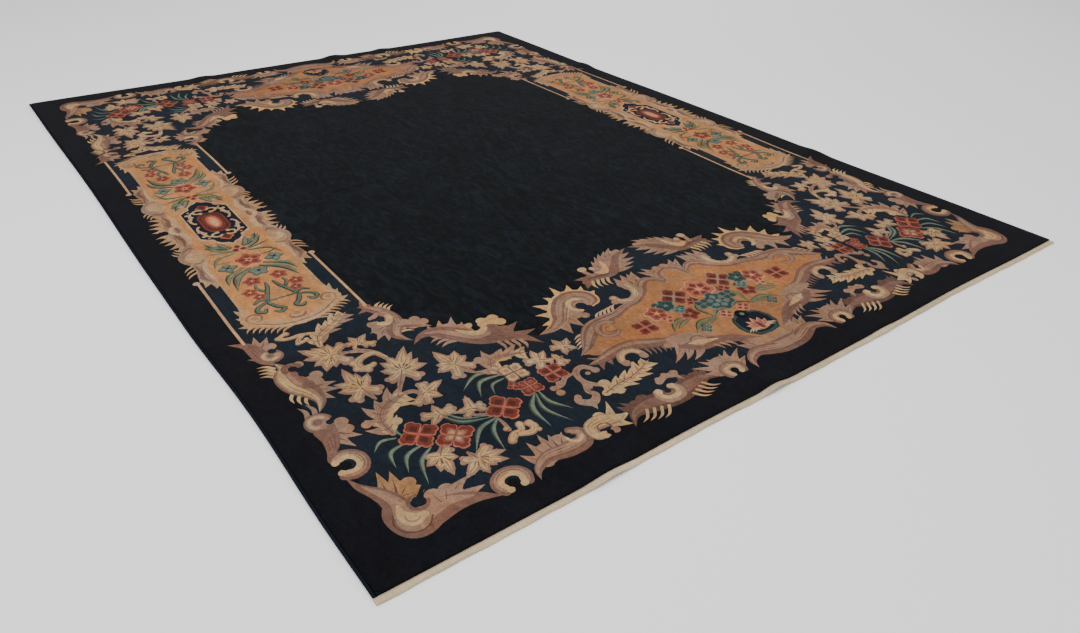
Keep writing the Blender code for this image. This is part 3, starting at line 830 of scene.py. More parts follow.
    # The vase: a dark bowl with a green rim and a red lotus in it
    d.next_motif()
    for tone, grow in (("dark_green", 0), ("leaf_green", 0.6), ("navy", 1.3)):
        half = [(0, 19.2 + 0.8 * grow), (4.2, 19.8 + 0.8 * grow), (6.8, 23.2), (7, 26), (6, 29.4),
            (3.4, 32 - grow), (0, 32.2 - grow)]
        outline = [(MIDDLE_X - max(x - grow * (x > 0), 0), y) for x, y in half]
        d.fill(tone, outline + [(142, 32.2 - grow), (142, 19.2 + 0.8 * grow)])
    d.next_motif()
    for heading, length in ((166, 4.4), (144, 5), (118, 5.4), (90, 5.6)):
        for tone, grow in (("pale_pink", 1), ("salmon", 0.84), ("red", 0.6)):
            d.flame(tone, MIDDLE_X, 22.6, heading, grow * length, grow * 1.2, 0, FULL)
    d.fingers((139.4, 22.6), (137.6, 23.2), 3, 3, 196, 0.30, "cream", -14)
    d.disc("margin", MIDDLE_X, 31.2, 2.2)
    d.disc("sky", MIDDLE_X, 31, 0.8)

    # Blades and stems on the gold, below and beside the flowers
    d.next_motif()
    d.blade([(125.2, 39.6, 120.2, 39, 116.4, 35, 0.9), (126.4, 38.4, 122.4, 37.6, 118.6, 35.8, 0.8),
        (133.4, 34.6, 126.6, 35, 121.6, 31, 0.9), (132.6, 33.8, 127.2, 33.2, 124, 33.6, 0.7),
        (134.4, 44.6, 132, 40.4, 133.2, 35, 0.8), (136.8, 45.6, 133.2, 45.6, 130.8, 43.6, 0.8),
        (133.4, 35.2, 136.4, 37.2, 139.8, 35.6, 0.7)], OLIVE_BLADE)
    d.stroke("leaf_green", [(125.8, 43.8, 0.5), (127.6, 43, 0.5), (129.2, 44.6, 0.4)])
    for x, y in ((122, 49.8), (127.8, 44.6), (135.6, 46.6)):
        d.disc("leaf_green", x, y, 1.3, 0.7, 30)

    # Flowers on the gold. Columns: x, y, radius, petals, their tone, core, lines, turn
    for x, y, radius, petals, petal, core, line, turn in (
            (111.2, 42.2, 4.4, 4, "red", "dark_red", "salmon", 45),
            (119.3, 45.8, 4.2, 5, "terracotta", "red", "pale_pink", 80),
            (120, 41.6, 2.4, 3, "salmon", "red", "pale_pink", 20),
            (MIDDLE_X, 49.2, 5.8, 6, "salmon", "red", "pale_pink", 90),
            (130.8, 50.2, 5.2, 4, "red", "dark_red", "tan", 90),
            (133.8, 44.8, 2.4, 4, "red", "dark_red", "salmon", 10),
            (127.8, 40.2, 3.5, 5, "red", "dark_red", "salmon", 45),
            (124.8, 47.6, 3.5, 5, "teal_blue", "dark_green", "sage", 90),
            (126.8, 43.6, 2.4, 4, "sky", "teal_blue", "sage", 0),
            (MIDDLE_X, 40.6, 5.6, 6, "teal_blue", "sky", "sage", 90),
            (135.4, 41.8, 3, 4, "teal_blue", "leaf_green", "sky", 45),
            (126, 31.6, 2.2, 4, "teal_blue", "sky", "sage", 0),
            (137, 33.8, 2.6, 4, "salmon", "red", "pale_pink", 0)):
        d.square_flower(x, y, radius, petal, core, line, turn, petals)
        if radius > 3:
            d.disc(line, x, y, 0.16 * radius)


def draw_cartouche(d):
    """The gold cartouche along the middle of the side, its rods, its panel and its sprays."""
    # Rods beside the narrow ends, with a knob where they meet the shoulders
    for sign in (-1, 1):
        d.next_motif()
        d.stroke("cream_tan", at_sides(sign, [(18.9, 101.5, 0.45), (18.9, 142, 0.45)]))
        d.disc("cream_tan", *at_side(sign, 19.3, 142.2, 1.1))

    # Fingers and tongues that stand out from both edges, drawn first
    d.next_motif()
    for sign in (-1, 1):
        for start, end, count, long, heading, half, bend in (
                ((12.6, 108.8), (4, 103.4), 7, 4.6, -36, 0.42, 14),
                ((16.4, 154.2), (16.6, 149.4), 3, 5, -40, 0.42, 10),
                ((17, 162.8), (15.4, 166), 3, 4.6, 50, 0.42, -12)):
            d.fingers(at_side(sign, *start), at_side(sign, *end), count, long, to_side(sign, heading),
                half, "sand", sign * bend)
        for x, y, heading, long, half in ((12.6, 115.4, 60, 5.4, 1.5), (13, 112.4, 44, 4.4, 1.4),
                (12.8, 109.4, 8, 4.6, 1.5), (13.6, 141, -76, 5.4, 1.9), (15.6, 142, -60, 4.4, 1.5),
                (14.8, 182, -14, 6.4, 1.8), (14.6, 178.8, -18, 6.8, 1.9), (14.2, 175.6, -16, 6.2, 1.8),
                (14, 172.4, -24, 6, 1.7), (14.2, 169.8, -36, 4.6, 1.4)):
            d.flame("sand", *at_side(sign, x, y), to_side(sign, heading), long, half, sign * 10)
            d.flame("mauve", *at_side(sign, x, y), to_side(sign, heading), 0.62 * long, 0.16, sign * 10)

    half = [(0, 102.6), (4.4, 103.2), (8.8, 105), (12.4, 107.4), (15, 109.6), (15.8, 112), (15.2, 115),
        (13.9, 118.6), (13.6, 121), (13.6, 139), (15.6, 140.4), (18, 142.6), (17.4, 146), (16.6, 149),
        (16.8, 153.4), (17.6, 156.4), (18.9, 158.8), (19, 161.4), (17.8, 164), (16.2, 166.8),
        (15.6, 170), (16.6, 174), (17, 178.6), (15.4, 183), (15.4, PAST_Y)]
    d.fill("sand", both_sides(half))
    gold = [(0, 107), (4, 106.6), (7.6, 108.6), (9.4, 110.6), (12.2, 113.2), (12.8, 117), (13, 122),
        (13, 140), (13.4, 146), (12.6, 151), (11.4, 155.4), (10.9, 159), (11.4, 162.6), (12.8, 166),
        (12.6, 172), (10.6, 179), (10.6, PAST_Y)]
    d.fill("apricot", both_sides(gold))

    for sign in (-1, 1):
        # Shading of the wide section: its shoulder, the round shell, and the swell above it
        for rows in (
                [(14.6, 140.6, 0.8), (16, 144.4, 1.6), (15.2, 149.4, 1.6), (16, 154.2, 0.8)],
                [(16.8, 155.8, 0.8), (18.2, 158.6, 0.8), (17.8, 162, 1.2), (15, 165.8, 1.6),
                 (13.6, 168.6, 1.2), (14.6, 172, 0.6)],
                [(13.6, 174, 0.4), (15, 178.4, 1.5), (14.2, 183.6, 1.2)]):
            d.stroke("tan", at_sides(sign, rows))
        for rows in (
                [(14.6, 140.8, 0.1), (16.4, 144.4, 0.7), (15.6, 149, 0.6), (16.2, 153.4, 0.2)],
                [(17.4, 156.4, 0.1), (14.4, 154.6, 0.35), (12.2, 156, 0.15)],
                [(17.2, 164.4, 0.1), (14, 167, 0.5), (12.6, 165.6, 0.2)],
                [(14.6, 169, 0.1), (13.6, 173.6, 0.7), (14.4, 178.4, 0.8), (12.6, 182.6, 0.7),
                 (12.6, 188, 0.7)]):
            d.stroke("mauve", at_sides(sign, rows))
        for rows in (
                [(13.2, 141.6, 0.2), (14.2, 146.4, 0.6), (13.6, 151.4, 0.7), (12.2, 154.4, 0.3)],
                [(12.6, 168.8, 0.2), (11.6, 173.2, 0.8), (12.2, 177.8, 0.9), (14.6, 181.4, 0.8),
                 (15.2, 184, 0.8)],
                [(12.6, 157, 0.2), (15.2, 158.8, 0.9), (15.8, 161.2, 1), (14, 163.2, 0.3)]):
            d.stroke("cream_tan", at_sides(sign, rows))
        d.combed(at_sides(sign, [(15, 141, 1.8), (15.4, 148, 1.6), (15.4, 154, 1.6)]), 3)
        d.combed(at_sides(sign, [(15, 168, 1.8), (14.6, 174, 2), (14.4, 182, 2.2)]), 4)
        d.disc("margin" if sign < 0 else "field", *at_side(sign, 17.8, 183, 1.9))
        d.disc("sand", *at_side(sign, 17.6, 180.2, 1.2))

        # Bosses inside the cap, and the lines that follow its edge
        d.disc("mauve", *at_side(sign, 11.6, 112.4, 2.5))
        d.disc("sand", *at_side(sign, 11.8, 112.1, 2))
        d.disc("ochre", *at_side(sign, 11.7, 112.4, 1))
        d.stroke("mauve", at_sides(sign, [(13.4, 109.8, 0.1), (10.8, 108.4, 0.25), (7.4, 106, 0.25),
            (3, 104.6, 0.2), (0, 104.4, 0.2)]))
        d.stroke("cream_tan",
            at_sides(sign, [(12.4, 108.6, 0.1), (8.6, 105.9, 0.45), (4.4, 104, 0.5), (0, 103.4, 0.5)]))
    d.disc("mauve", SIDE_X, 107.9, 2.7, 0.66)
    d.disc("sand", SIDE_X, 108.3, 2.2, 0.60)
    d.disc("ochre", SIDE_X, 108.6, 1.2, 0.60)

    draw_cartouche_sprays(d)
    draw_panel(d)


def draw_cartouche_sprays(d):
    """The flowers and tendrils on the cartouche's gold."""
    for sign in (-1, 1):
        # Green tendrils with hooked ends, low in the narrow end
        d.next_motif()
        for rows in (
                [(4.4, 131, 0.4), (4.8, 128.6, 0.7), (3.6, 126.2, 0.7)],
                [(1.2, 131, 0.4), (1.8, 127.8, 0.8), (3.4, 123.6, 0.8), (4.8, 119.6, 0.8)],
                [(0, 119.8, 0.3), (3.4, 119.8, 0.5), (6.6, 121.4, 0.8), (8.6, 120.2, 0.6)],
                [(5.4, 119.2, 0.7), (8.4, 117.6, 0.8), (9.4, 115.4, 0.9), (7.6, 114, 0.8),
                 (6.8, 115.6, 0.6)],
                [(4.8, 118.4, 0.8), (3.4, 115.4, 0.9), (1.8, 113.6, 0.9), (3.4, 112, 0.8),
                 (4.6, 113.2, 0.6)]):
            d.scroll(at_sides(sign, rows), (("leaf_green", 1), ("moss", 0.5)), 0.3)
        for x, y, radius in ((4.4, 134, 3), (7.4, 127.4, 2.7), (5.8, 123.4, 2.2)):
            d.square_flower(*at_side(sign, x, y, radius), "terracotta", "red", "salmon", 90, 5)
            d.disc("cream_tan", *at_side(sign, x, y, 0.4))

        # Long blades from the large flowers, then olive leaves beside the panel's point
        d.next_motif()
        for x, y, u, v, tip_x, tip_y, half in ((1.8, 142.8, 7.6, 138.2, 10.2, 130, 1.4),
                (3.4, 144.4, 9.4, 140.4, 11.4, 134.6, 1.1), (2.4, 155.4, 8.8, 153.6, 11.8, 147, 0.7),
                (2.6, 157, 7, 160.6, 9.6, 166, 1), (2.4, 156.4, 7, 157.8, 11.4, 159.2, 0.5),
                (3.6, 150.4, 8.4, 150.6, 11.8, 153, 0.4)):
            d.blade([(*at_side(sign, x, y), *at_side(sign, u, v), *at_side(sign, tip_x, tip_y), half)],
                OLIVE_BLADE)
        for x, y, heading, long, half in ((3, 160.2, 48, 9, 1.5), (3.4, 161, 74, 5.4, 1.1),
                (5.6, 161.4, 30, 5, 0.8)):
            for tone, share in (("leaf_green", 1), ("olive", 0.66), ("sage", 0.34)):
                d.flame(tone, *at_side(sign, x, y), to_side(sign, heading), (0.6 + 0.4 * share) * long,
                    share * half, sign * 10, FULL)
        d.disc("tan", *at_side(sign, 6, 164.4, 1.3))
        d.disc("cream_tan", *at_side(sign, 6, 164.4, 0.7))
        d.square_flower(*at_side(sign, 7.8, 146.4, 3.2), "sky", "sage", "teal_blue", 90)
        d.disc("navy", *at_side(sign, 7.8, 146.4, 0.5))
    d.square_flower(SIDE_X, 139.7, 3.3, "sky", "sage", "teal_blue", 90, 5)
    d.disc("navy", SIDE_X, 139.7, 0.5)
    d.square_flower(SIDE_X, 148.5, 5, "terracotta", "red", "pale_pink", 90, 5)
    for tone, radius in (("pale_pink", 1.1), ("red", 0.6)):
        d.disc(tone, SIDE_X, 148.5, radius)
    d.square_flower(SIDE_X, 158, 2.8, "red", "dark_red", "salmon", 90, 3)


def draw_panel(d):
    """The dark panel at the cartouche's middle, with its banded red oval."""
    d.next_motif()
    half = [(0, 162.2), (1.7, 163.6), (3.6, 164.4), (4.9, 166), (5.3, 168.2), (7.2, 169.2),
        (8.9, 170.8), (8.9, PAST_Y)]
    for tone, inset in (("cream_tan", 0), ("navy", 0.6)):
        d.fill(tone, both_sides([(max(x - inset, 0), y + 1.2 * inset) for x, y in half]))
    d.next_motif()
    for tone, wide, low in (("red", 4.6, 174.2), ("dark_red", 4, 175), ("red", 3.2, 176.2),
            ("salmon", 2.3, 177.6), ("pale_pink", 1.6, 178.8), ("cream", 0.9, 180)):
        d.fill(tone,
            both_sides([(0.35 * wide, low), (0.8 * wide, low + 1.6), (wide, low + 4), (wide, PAST_Y)]))
    for sign in (-1, 1):
        d.next_motif()
        d.stroke("cream", at_sides(sign, arc_rows(2.5, 172.2, -150, 120, 1.8, 0.50, 1.4, 0.46)))
        d.disc("cream", *at_side(sign, 1.9, 173.8, 0.8))
        d.stroke("cream_tan", at_sides(sign, [(4.4, 171.4, 0.3), (5.7, 173.2, 0.55), (6.2, 176.2, 0.65),
            (7, 178.8, 0.5), (6.4, 181.2, 0.4)]))
        for x, y, radius in ((5.4, 175.4, 0.6), (7.2, 177.2, 0.6), (6.8, 173, 0.7), (5.6, 170.8, 0.5),
                (6, 181.4, 0.6)):
            d.disc("cream_tan", *at_side(sign, x, y, radius))
    d.next_motif()
    for tone, share in (("salmon", 1), ("red", 0.70), ("dark_red", 0.36)):
        d.stroke(tone, [(SIDE_X, 167.6, share), (SIDE_X, 169, 2.5 * share), (SIDE_X, 171, 0.8 * share)])


def draw_quarter():
    """Every motif of the quarter, in the order in which they cover one another."""
    d = Drawing()
    draw_grounds(d)
    draw_sprays(d)
    draw_bottom_chain(d)
    draw_left_chain(d)
    draw_corner_scroll(d)
    draw_crest_scrolls(d)
    draw_medallion(d)
    draw_cartouche(d)
    return d.shapes


# Sizes of the rug, in metres, with the same names and values as in the frame's source

HALF_WIDTH = 1.37
HALF_LENGTH = 1.80
BAND_WIDTH = 0.018
CORD_WIDTH = 0.009
CLEARANCE = 0.0003
RIM_WIDTH = 0.006
PILE_HALF_WIDTH = HALF_WIDTH - CORD_WIDTH - CLEARANCE
PILE_HALF_LENGTH = HALF_LENGTH - BAND_WIDTH - CLEARANCE
END_NAMES = {-1: "near", 1: "far"}
SIDE_NAMES = {-1: "left", 1: "right"}

# Where an edge lifts in a pucker: place along the edge, half length, height
PUCKERS = {
    "near": ((-0.757, 0.105, 0.007), (-0.165, 0.075, 0.009), (0.332, 0.090, 0.004)),
    "far": ((-0.546, 0.080, 0.006), (0.205, 0.085, 0.010), (0.510, 0.070, 0.006)),
    "left": (),
    "right": ((-0.744, 0.100, 0.006), (0.870, 0.090, 0.007)),
}
PUCKER_REACH = 0.130

# Where an edge is drawn in: place along the edge, half length, how far in
BOWS = {
    "near": ((-0.45, 0.42, 0.005), (0.75, 0.45, 0.006)),
    "far": ((-0.70, 0.50, 0.006), (0.75, 0.50, 0.005)),
    "left": ((-1.10, 0.50, 0.010), (0.60, 0.80, 0.006)),
    "right": ((-0.90, 0.60, 0.006), (0.80, 0.70, 0.008)),
}
BOW_REACH = 0.450


def swell(place, centre, half):
    """1 at the centre, 0 from half on, and smooth between."""
    share = np.minimum(np.abs(place - centre) / half, 1)
    return np.cos(share * np.pi / 2) ** 2


def along_edge(rows, place):
    """How far the rows of an edge move it, at each place along it."""
    return sum((amount * swell(place, centre, half) for centre, half, amount in rows),
               np.zeros_like(place))


def laid(points):
    """Moves points of the rug as cut to where they lie, with the bows and puckers."""
    x, y, z = points.T
    edges = {"near": (y + HALF_LENGTH, x), "far": (HALF_LENGTH - y, x),
             "left": (x + HALF_WIDTH, y), "right": (HALF_WIDTH - x, y)}
    moved = {}
    lift = np.zeros_like(x)
    for edge, (within, place) in edges.items():
        within = np.maximum(within, 0)
        moved[edge] = along_edge(BOWS[edge], place) * swell(within, 0, BOW_REACH)
        lift += along_edge(PUCKERS[edge], place) * swell(within, 0, PUCKER_REACH)
    return np.stack([x + moved["left"] - moved["right"],
                     y + moved["near"] - moved["far"], z + lift], 1)


# The pile of one quarter, in the drawing's centimetres

QUARTER_LOW = 100 * np.array([HALF_WIDTH - PILE_HALF_WIDTH, HALF_LENGTH - PILE_HALF_LENGTH])
QUARTER_HIGH = 100 * np.array([HALF_WIDTH, HALF_LENGTH])
GROOVE_HALF = 0.30
COARSE_STEP = 2.6
COARSE_START = 1.5
COARSE_GAP = 0.8
EDGE_STEP = 1.2
ON_THE_LINE = 0.01
MERGED = 1e-4

# Where the drawing starts to give way to the rug's own middle, and over what length
GIVE_X = (50, 40)
GIVE_Y = (80, 30)

# Where the pieces with the medallion and with the long side's pattern begin
MEDALLION_FROM_X = 86.5
SIDE_FROM_Y = 103.5

# A groove runs where these numbers change. Each motif has a number of its own
GROUNDS = {"margin": 0, "field": 10001}
BORDER_GROUND = 10002


def ease(share):
    """0 up to 0, 1 from 1 on, and smooth between."""
    share = np.clip(share, 0, 1)
    return share * share * (3 - 2 * share)


def on_the_rug(points):
    """The quarter's drawing as it is woven, with its middles on the rug's middles."""
    moved = np.array(points, float)
    for axis, middle, (start, reach) in ((0, MIDDLE_X, GIVE_X), (1, MIDDLE_Y, GIVE_Y)):
        moved[:, axis] -= (middle - QUARTER_HIGH[axis]) * ease((moved[:, axis] - start) / reach)
    return moved


def within(outline, points):
    """Which points an outline winds round."""
    start = outline[:, None, :]
    end = np.roll(outline, -1, 0)[:, None, :]
    x, y = points[None, :, 0], points[None, :, 1]
    side = ((end[..., 0] - start[..., 0]) * (y - start[..., 1])
            - (x - start[..., 0]) * (end[..., 1] - start[..., 1]))
    up = (start[..., 1] <= y) & (end[..., 1] > y) & (side > 0)
    down = (start[..., 1] > y) & (end[..., 1] <= y) & (side < 0)
    return (up.sum(0) - down.sum(0)) != 0


def triangulated(points, edges):
    """Triangles over the quarter that keep to every edge."""
    result = delaunay_2d_cdt([Vector(p) for p in points.tolist()], edges, [], 0, MERGED, False)
    return np.array([v[:] for v in result[0]]), np.array(result[2])


def covered(shapes, places, triangles):
    """The shape on top at each triangle, or -1 outside the quarter's pile."""
    middles = places[triangles].mean(1)
    top = np.where(((middles > QUARTER_LOW) & (middles < QUARTER_HIGH)).all(1), 0, -1)
    order = np.argsort(middles[:, 0])
    sorted_x = middles[order, 0]
    for number, (_, _, outline) in enumerate(shapes, 1):
        least, most = outline.min(0), outline.max(0)
        span = order[np.searchsorted(sorted_x, least[0]):np.searchsorted(sorted_x, most[0])]
        span = span[(middles[span, 1] > least[1]) & (middles[span, 1] < most[1])
                    & (top[span] >= 0)]
        if len(span):
            top[span[within(outline, middles[span])]] = number
    return top


def nearest(points, others):
    """The distance from each point to the nearest of the others."""
    tree = kdtree.KDTree(len(others))
    for index, place in enumerate(others.tolist()):
        tree.insert((*place, 0), index)
    tree.balance()
    return np.array([tree.find((*place, 0))[2] for place in points.tolist()])


def sides_of(triangles):
    """The three sides of each triangle, as pairs of places."""
    return triangles[:, [[0, 1], [1, 2], [2, 0]]].reshape(-1, 2)


def visible_edges(places, triangles, looks):
    """The sides of triangles at which the look changes, with only the points they need."""
    sides = np.sort(sides_of(triangles), 1)
    owner = np.repeat(looks, 3)
    order = np.lexsort((sides[:, 1], sides[:, 0]))
    sides, owner = sides[order], owner[order]
    shared = (sides[:-1] == sides[1:]).all(1)
    kept = sides[:-1][shared & (owner[:-1] != owner[1:])]
    used, index = np.unique(kept, return_inverse=True)
    return places[used], index.reshape(-1, 2)


def seen_outlines(drawn, tone_of, owner_of):
    """The stretches of the outlines that can be seen, and those that get a groove."""
    low, high = QUARTER_LOW, QUARTER_HIGH
    frame = np.array([low, (high[0], low[1]), high, (low[0], high[1])])
    loops = [frame] + [outline for _, _, outline in drawn]
    edges, count = [], 0
    for loop in loops:
        size = len(loop)
        edges += [(count + k, count + (k + 1) % size) for k in range(size)]
        count += size
    places, triangles = triangulated(np.concatenate(loops), edges)
    top = covered(drawn, places, triangles)
    looks = np.where(top < 0, -1, tone_of[top] + 100 * owner_of[top])
    owners = np.where(top < 0, -1, owner_of[top])
    return visible_edges(places, triangles, looks), visible_edges(places, triangles, owners)


def rim_rows():
    """The ends of the rim's inner line, then rows of points along the edge and that line."""
    low, high, rim = QUARTER_LOW, QUARTER_HIGH, 100 * RIM_WIDTH
    along_x = np.arange(low[0] + EDGE_STEP, high[0], EDGE_STEP)
    along_y = np.arange(low[1] + EDGE_STEP, high[1], EDGE_STEP)
    rows = [np.array([low + rim, (high[0], low[1] + rim), (low[0] + rim, high[1])])]
    rows += [np.stack([along_x, np.full_like(along_x, low[1] + step)], 1) for step in (0, rim)]
    rows += [np.stack([np.full_like(along_y, low[0] + step), along_y], 1) for step in (0, rim)]
    return rows


def groove_points(places, edges):
    """Points in the bottom of the grooves, and points on their banks."""
    ends = places[edges]
    inside = (ends > QUARTER_LOW + ON_THE_LINE) & (ends < QUARTER_HIGH - ON_THE_LINE)
    ends = ends[inside.all((1, 2))]
    run = ends[:, 1] - ends[:, 0]
    long = np.maximum(np.linalg.norm(run, axis=1), 1e-9)[:, None]
    lines = np.concatenate([ends[:, 0] + share * run for share in (0, 0.25, 0.5, 0.75)])
    normal = np.stack([-run[:, 1], run[:, 0]], 1) / long
    middle = ends.mean(1)
    banks = np.concatenate([middle + GROOVE_HALF * normal, middle - GROOVE_HALF * normal])
    cells = np.round(banks / (0.9 * GROOVE_HALF)).astype(int)
    banks = banks[np.unique(cells, axis=0, return_index=True)[1]]
    return lines, banks[nearest(banks, lines) > 0.85 * GROOVE_HALF]


def quarter_pile():
    """One quarter's places, triangles, tones and groove depths, in centimetres."""
    drawn = [(tone, motif, on_the_rug(outline)) for tone, motif, outline in draw_quarter()]
    tone_of = np.array([TONE_NUMBERS[name] for name in ["margin"] + [row[0] for row in drawn]])
    owner_of = np.array([0] + [motif or GROUNDS.get(tone, BORDER_GROUND)
                               for tone, motif, _ in drawn])

    # First pass: every outline, to find out which stretches of them can be seen
    (seen, seen_edges), grooves = seen_outlines(drawn, tone_of, owner_of)

    # Points beside each groove, and in a coarse grid between
    lines, banks = groove_points(*grooves)
    axes = [np.arange(QUARTER_LOW[k] + COARSE_START, QUARTER_HIGH[k] - 1, COARSE_STEP)
            for k in (0, 1)]
    grid = np.stack(np.meshgrid(*axes), -1).reshape(-1, 2)
    grid = grid[nearest(grid, np.concatenate([lines, banks])) > COARSE_GAP]

    # Second pass: only what can be seen, with those points and the rows along the rim
    start = len(seen)
    edges = seen_edges.tolist() + [(start, start + 1), (start, start + 2)]
    places, triangles = triangulated(np.concatenate([seen, *rim_rows(), banks, grid]), edges)
    top = covered(drawn, places, triangles)
    triangles, top = triangles[top >= 0], top[top >= 0]
    used, triangles = np.unique(triangles, return_inverse=True)
    triangles = triangles.reshape(-1, 3)
    places = places[used]
    for axis, middle in enumerate(QUARTER_HIGH):
        places[np.abs(places[:, axis] - middle) < ON_THE_LINE, axis] = middle
    depth = 1 - ease(nearest(places, lines) / GROOVE_HALF)
    return places, triangles, tone_of[top], depth


# The whole pile, in metres

# How far the middle is shifted along x, most at its near end, and the long sides' middles
# along y, and how wide a strip along the edges the drift dies out in
SHIFT_X = 0.037
SHIFT_Y = 0.030
CALM_STRIP = 0.10
UNEVEN_HEIGHT = 0.0003

# The quarters are welded where they agree to a micrometre
WELD_PLACES = 1e6
WELD_CELLS = 10_000_000


def drift(points):
    """Moves points of the rug as drawn to where the weaver's hand has them."""
    x, y = points.T
    reach_x = 1 - ease((np.abs(x) - 0.47) / 0.40)
    reach_y = 1 - ease((np.abs(y) - 0.70) / 0.30)
    near = ease((1.0 - y) / 2.6)
    beside = ease((np.abs(x) - 0.55) / 0.30)
    wave_x = 0.0035 * np.sin(2.3 * y + 0.7) + 0.0022 * np.sin(5.1 * y + 1.9 * x)
    wave_y = 0.0040 * np.sin(2.1 * x + 1.1) + 0.0024 * np.sin(4.7 * x - 2.6 * y)
    inside_x = ease((PILE_HALF_WIDTH - np.abs(x)) / CALM_STRIP)
    inside_y = ease((PILE_HALF_LENGTH - np.abs(y)) / CALM_STRIP)
    return np.stack([x + SHIFT_X * reach_x * near * inside_x + wave_x * inside_x,
                     y + SHIFT_Y * reach_y * beside * inside_y + wave_y * inside_y], 1)


def whole_pile(sizes):
    """The rug's pile: places, triangles, tones and the names of their pieces."""
    places, triangles, tones, depth = quarter_pile()
    x, y = places[triangles].mean(1).T
    regions = np.where(x > MEDALLION_FROM_X, 0, np.where(y > SIDE_FROM_Y, 1, 2))
    regions = np.where(tones == TONE_NUMBERS["field"], 3, regions)
    regions = np.where(tones == TONE_NUMBERS["margin"], 4, regions)
    all_places, all_triangles, all_regions = [], [], []
    for side, side_name in SIDE_NAMES.items():
        for end, end_name in END_NAMES.items():
            turned = triangles if side * end > 0 else triangles[:, ::-1]
            all_triangles.append(turned + len(all_places) * len(places))
            all_places.append(np.stack([side * (HALF_WIDTH - places[:, 0] / 100),
                                        end * (HALF_LENGTH - places[:, 1] / 100)], 1))
            names = np.array([f"pile_medallion_{end_name}", f"pile_side_{side_name}",
                              f"pile_corner_{end_name}_{side_name}", "pile_field",
                              "pile_margin"])
            all_regions.append(names[regions])
    points = np.concatenate(all_places) + 0.0
    keys = np.round(points * WELD_PLACES).astype(np.int64)
    first, joined = np.unique(keys[:, 0] * WELD_CELLS + keys[:, 1], return_index=True,
                              return_inverse=True)[1:]
    triangles = joined.reshape(-1)[np.concatenate(all_triangles)]
    points = points[first]
    depth = np.tile(depth, 4)[first]
    tones = np.tile(tones, 4)
    regions = np.concatenate(all_regions)
    rim = np.maximum(np.abs(points[:, 0]) - (PILE_HALF_WIDTH - RIM_WIDTH),
                     np.abs(points[:, 1]) - (PILE_HALF_LENGTH - RIM_WIDTH)) / RIM_WIDTH
    settled = drift(points)
    x, y = settled.T
    uneven = np.sin(9 * x + 2 * y) + np.sin(7 * y - 3 * x + 1) + np.sin(17 * x - 13 * y)
    height = (sizes.pile_height - sizes.rim_drop * np.clip(rim, 0, 1) ** 2
              - sizes.carving_depth * depth + UNEVEN_HEIGHT * uneven * (rim < 0))
    return laid(np.stack([x, y, height], 1)), triangles, tones, regions


def linear(code):
    """A dye's linear red, green and blue from its six-figure code."""
    shares = [int(code[k:k + 2], 16) / 255 for k in (0, 2, 4)]
    return [s / 12.92 if s <= 0.04045 else ((s + 0.055) / 1.055) ** 2.4 for s in shares]


# Each dye with its label and its six-figure code
DYES = {
    "margin": ("Margin navy", "0e0e13"),
    "field": ("Field black", "0b0e12"),
    "teal_ground": ("Border ground", "151b22"),
    "navy": ("Panel navy", "111722"),
    "mauve": ("Mauve brown", "664a3e"),
    "umber": ("Umber shade", "523a30"),
    "tan": ("Tan", "7f624f"),
    "ochre": ("Ochre", "856242"),
    "pale_gold": ("Pale gold", "a88354"),
    "cream": ("Cream", "9f815a"),
    "cream_tan": ("Rod cream", "9e7d5d"),
    "sand": ("Sand", "947352"),
    "moss": ("Moss green", "525a48"),
    "apricot": ("Apricot", "9d6d44"),
    "gold": ("Gold", "8b5d3b"),
    "red": ("Brick red", "5f2d24"),
    "dark_red": ("Dark red", "45231d"),
    "terracotta": ("Terracotta", "764234"),
    "salmon": ("Salmon", "8c5141"),
    "pale_pink": ("Pale pink", "a97454"),
    "sage": ("Sage", "5c6453"),
    "leaf_green": ("Leaf green", "2f3a36"),
    "dark_green": ("Dark green", "22332e"),
    "olive": ("Olive", "5d5b3b"),
    "teal_blue": ("Teal", "2a3939"),
    "cotton": ("Cotton", "cbb798"),
    "side_yarn": ("Side yarn", "12151f"),
    "back": ("Knotted back", "10161f"),
    "sky": ("Pale teal", "525c53"),
}
TONE_NUMBERS = {name: number for number, name in enumerate(DYES)}


# Finishes. Their noises read the object coordinates, in metres

WARM_TINT = (1.07, 0.97, 0.88)
COOL_TINT = (0.93, 1.02, 1.12)


def new_material(name, roughness, specular):
    """A material with its node tree and its shader."""
    material = bpy.data.materials.new(name)
    material.use_nodes = True
    tree = material.node_tree
    shader = tree.nodes["Principled BSDF"]
    shader.inputs["Roughness"].default_value = roughness
    shader.inputs["Specular IOR Level"].default_value = specular
    return material, tree, shader


def add_node(tree, kind, settings=None, **inputs):
    """A node with its settings, and with its inputs set to numbers or linked to sockets."""
    node = tree.nodes.new(kind)
    for key, value in (settings or {}).items():
        setattr(node, key, value)
    for key, value in inputs.items():
        socket = node.inputs[int(key[1:])] if key[0] == "_" else node.inputs[
            key.replace("_", " ").title()]
        if isinstance(value, bpy.types.NodeSocket):
            tree.links.new(value, socket)
        else:
            socket.default_value = value
    return node


def noise(tree, place, scale, detail=2.0, stretch=None, distortion=0.0):
    """The strength of a noise of that many waves a metre, stretched along the axes."""
    if stretch:
        place = add_node(tree, "ShaderNodeMapping", vector=place, scale=stretch).outputs[0]
    return add_node(tree, "ShaderNodeTexNoise", vector=place, scale=scale, detail=detail,
                    distortion=distortion).outputs[0]


def remap(tree, value, low, high, start=0.3, end=0.7):
    """A value from start to end, made to run from low to high."""
    return add_node(tree, "ShaderNodeMapRange", _0=value, _1=start, _2=end, _3=low,
                    _4=high).outputs[0]


def product(tree, first, second):
    return add_node(tree, "ShaderNodeMath", {"operation": "MULTIPLY"}, _0=first,
                    _1=second).outputs[0]


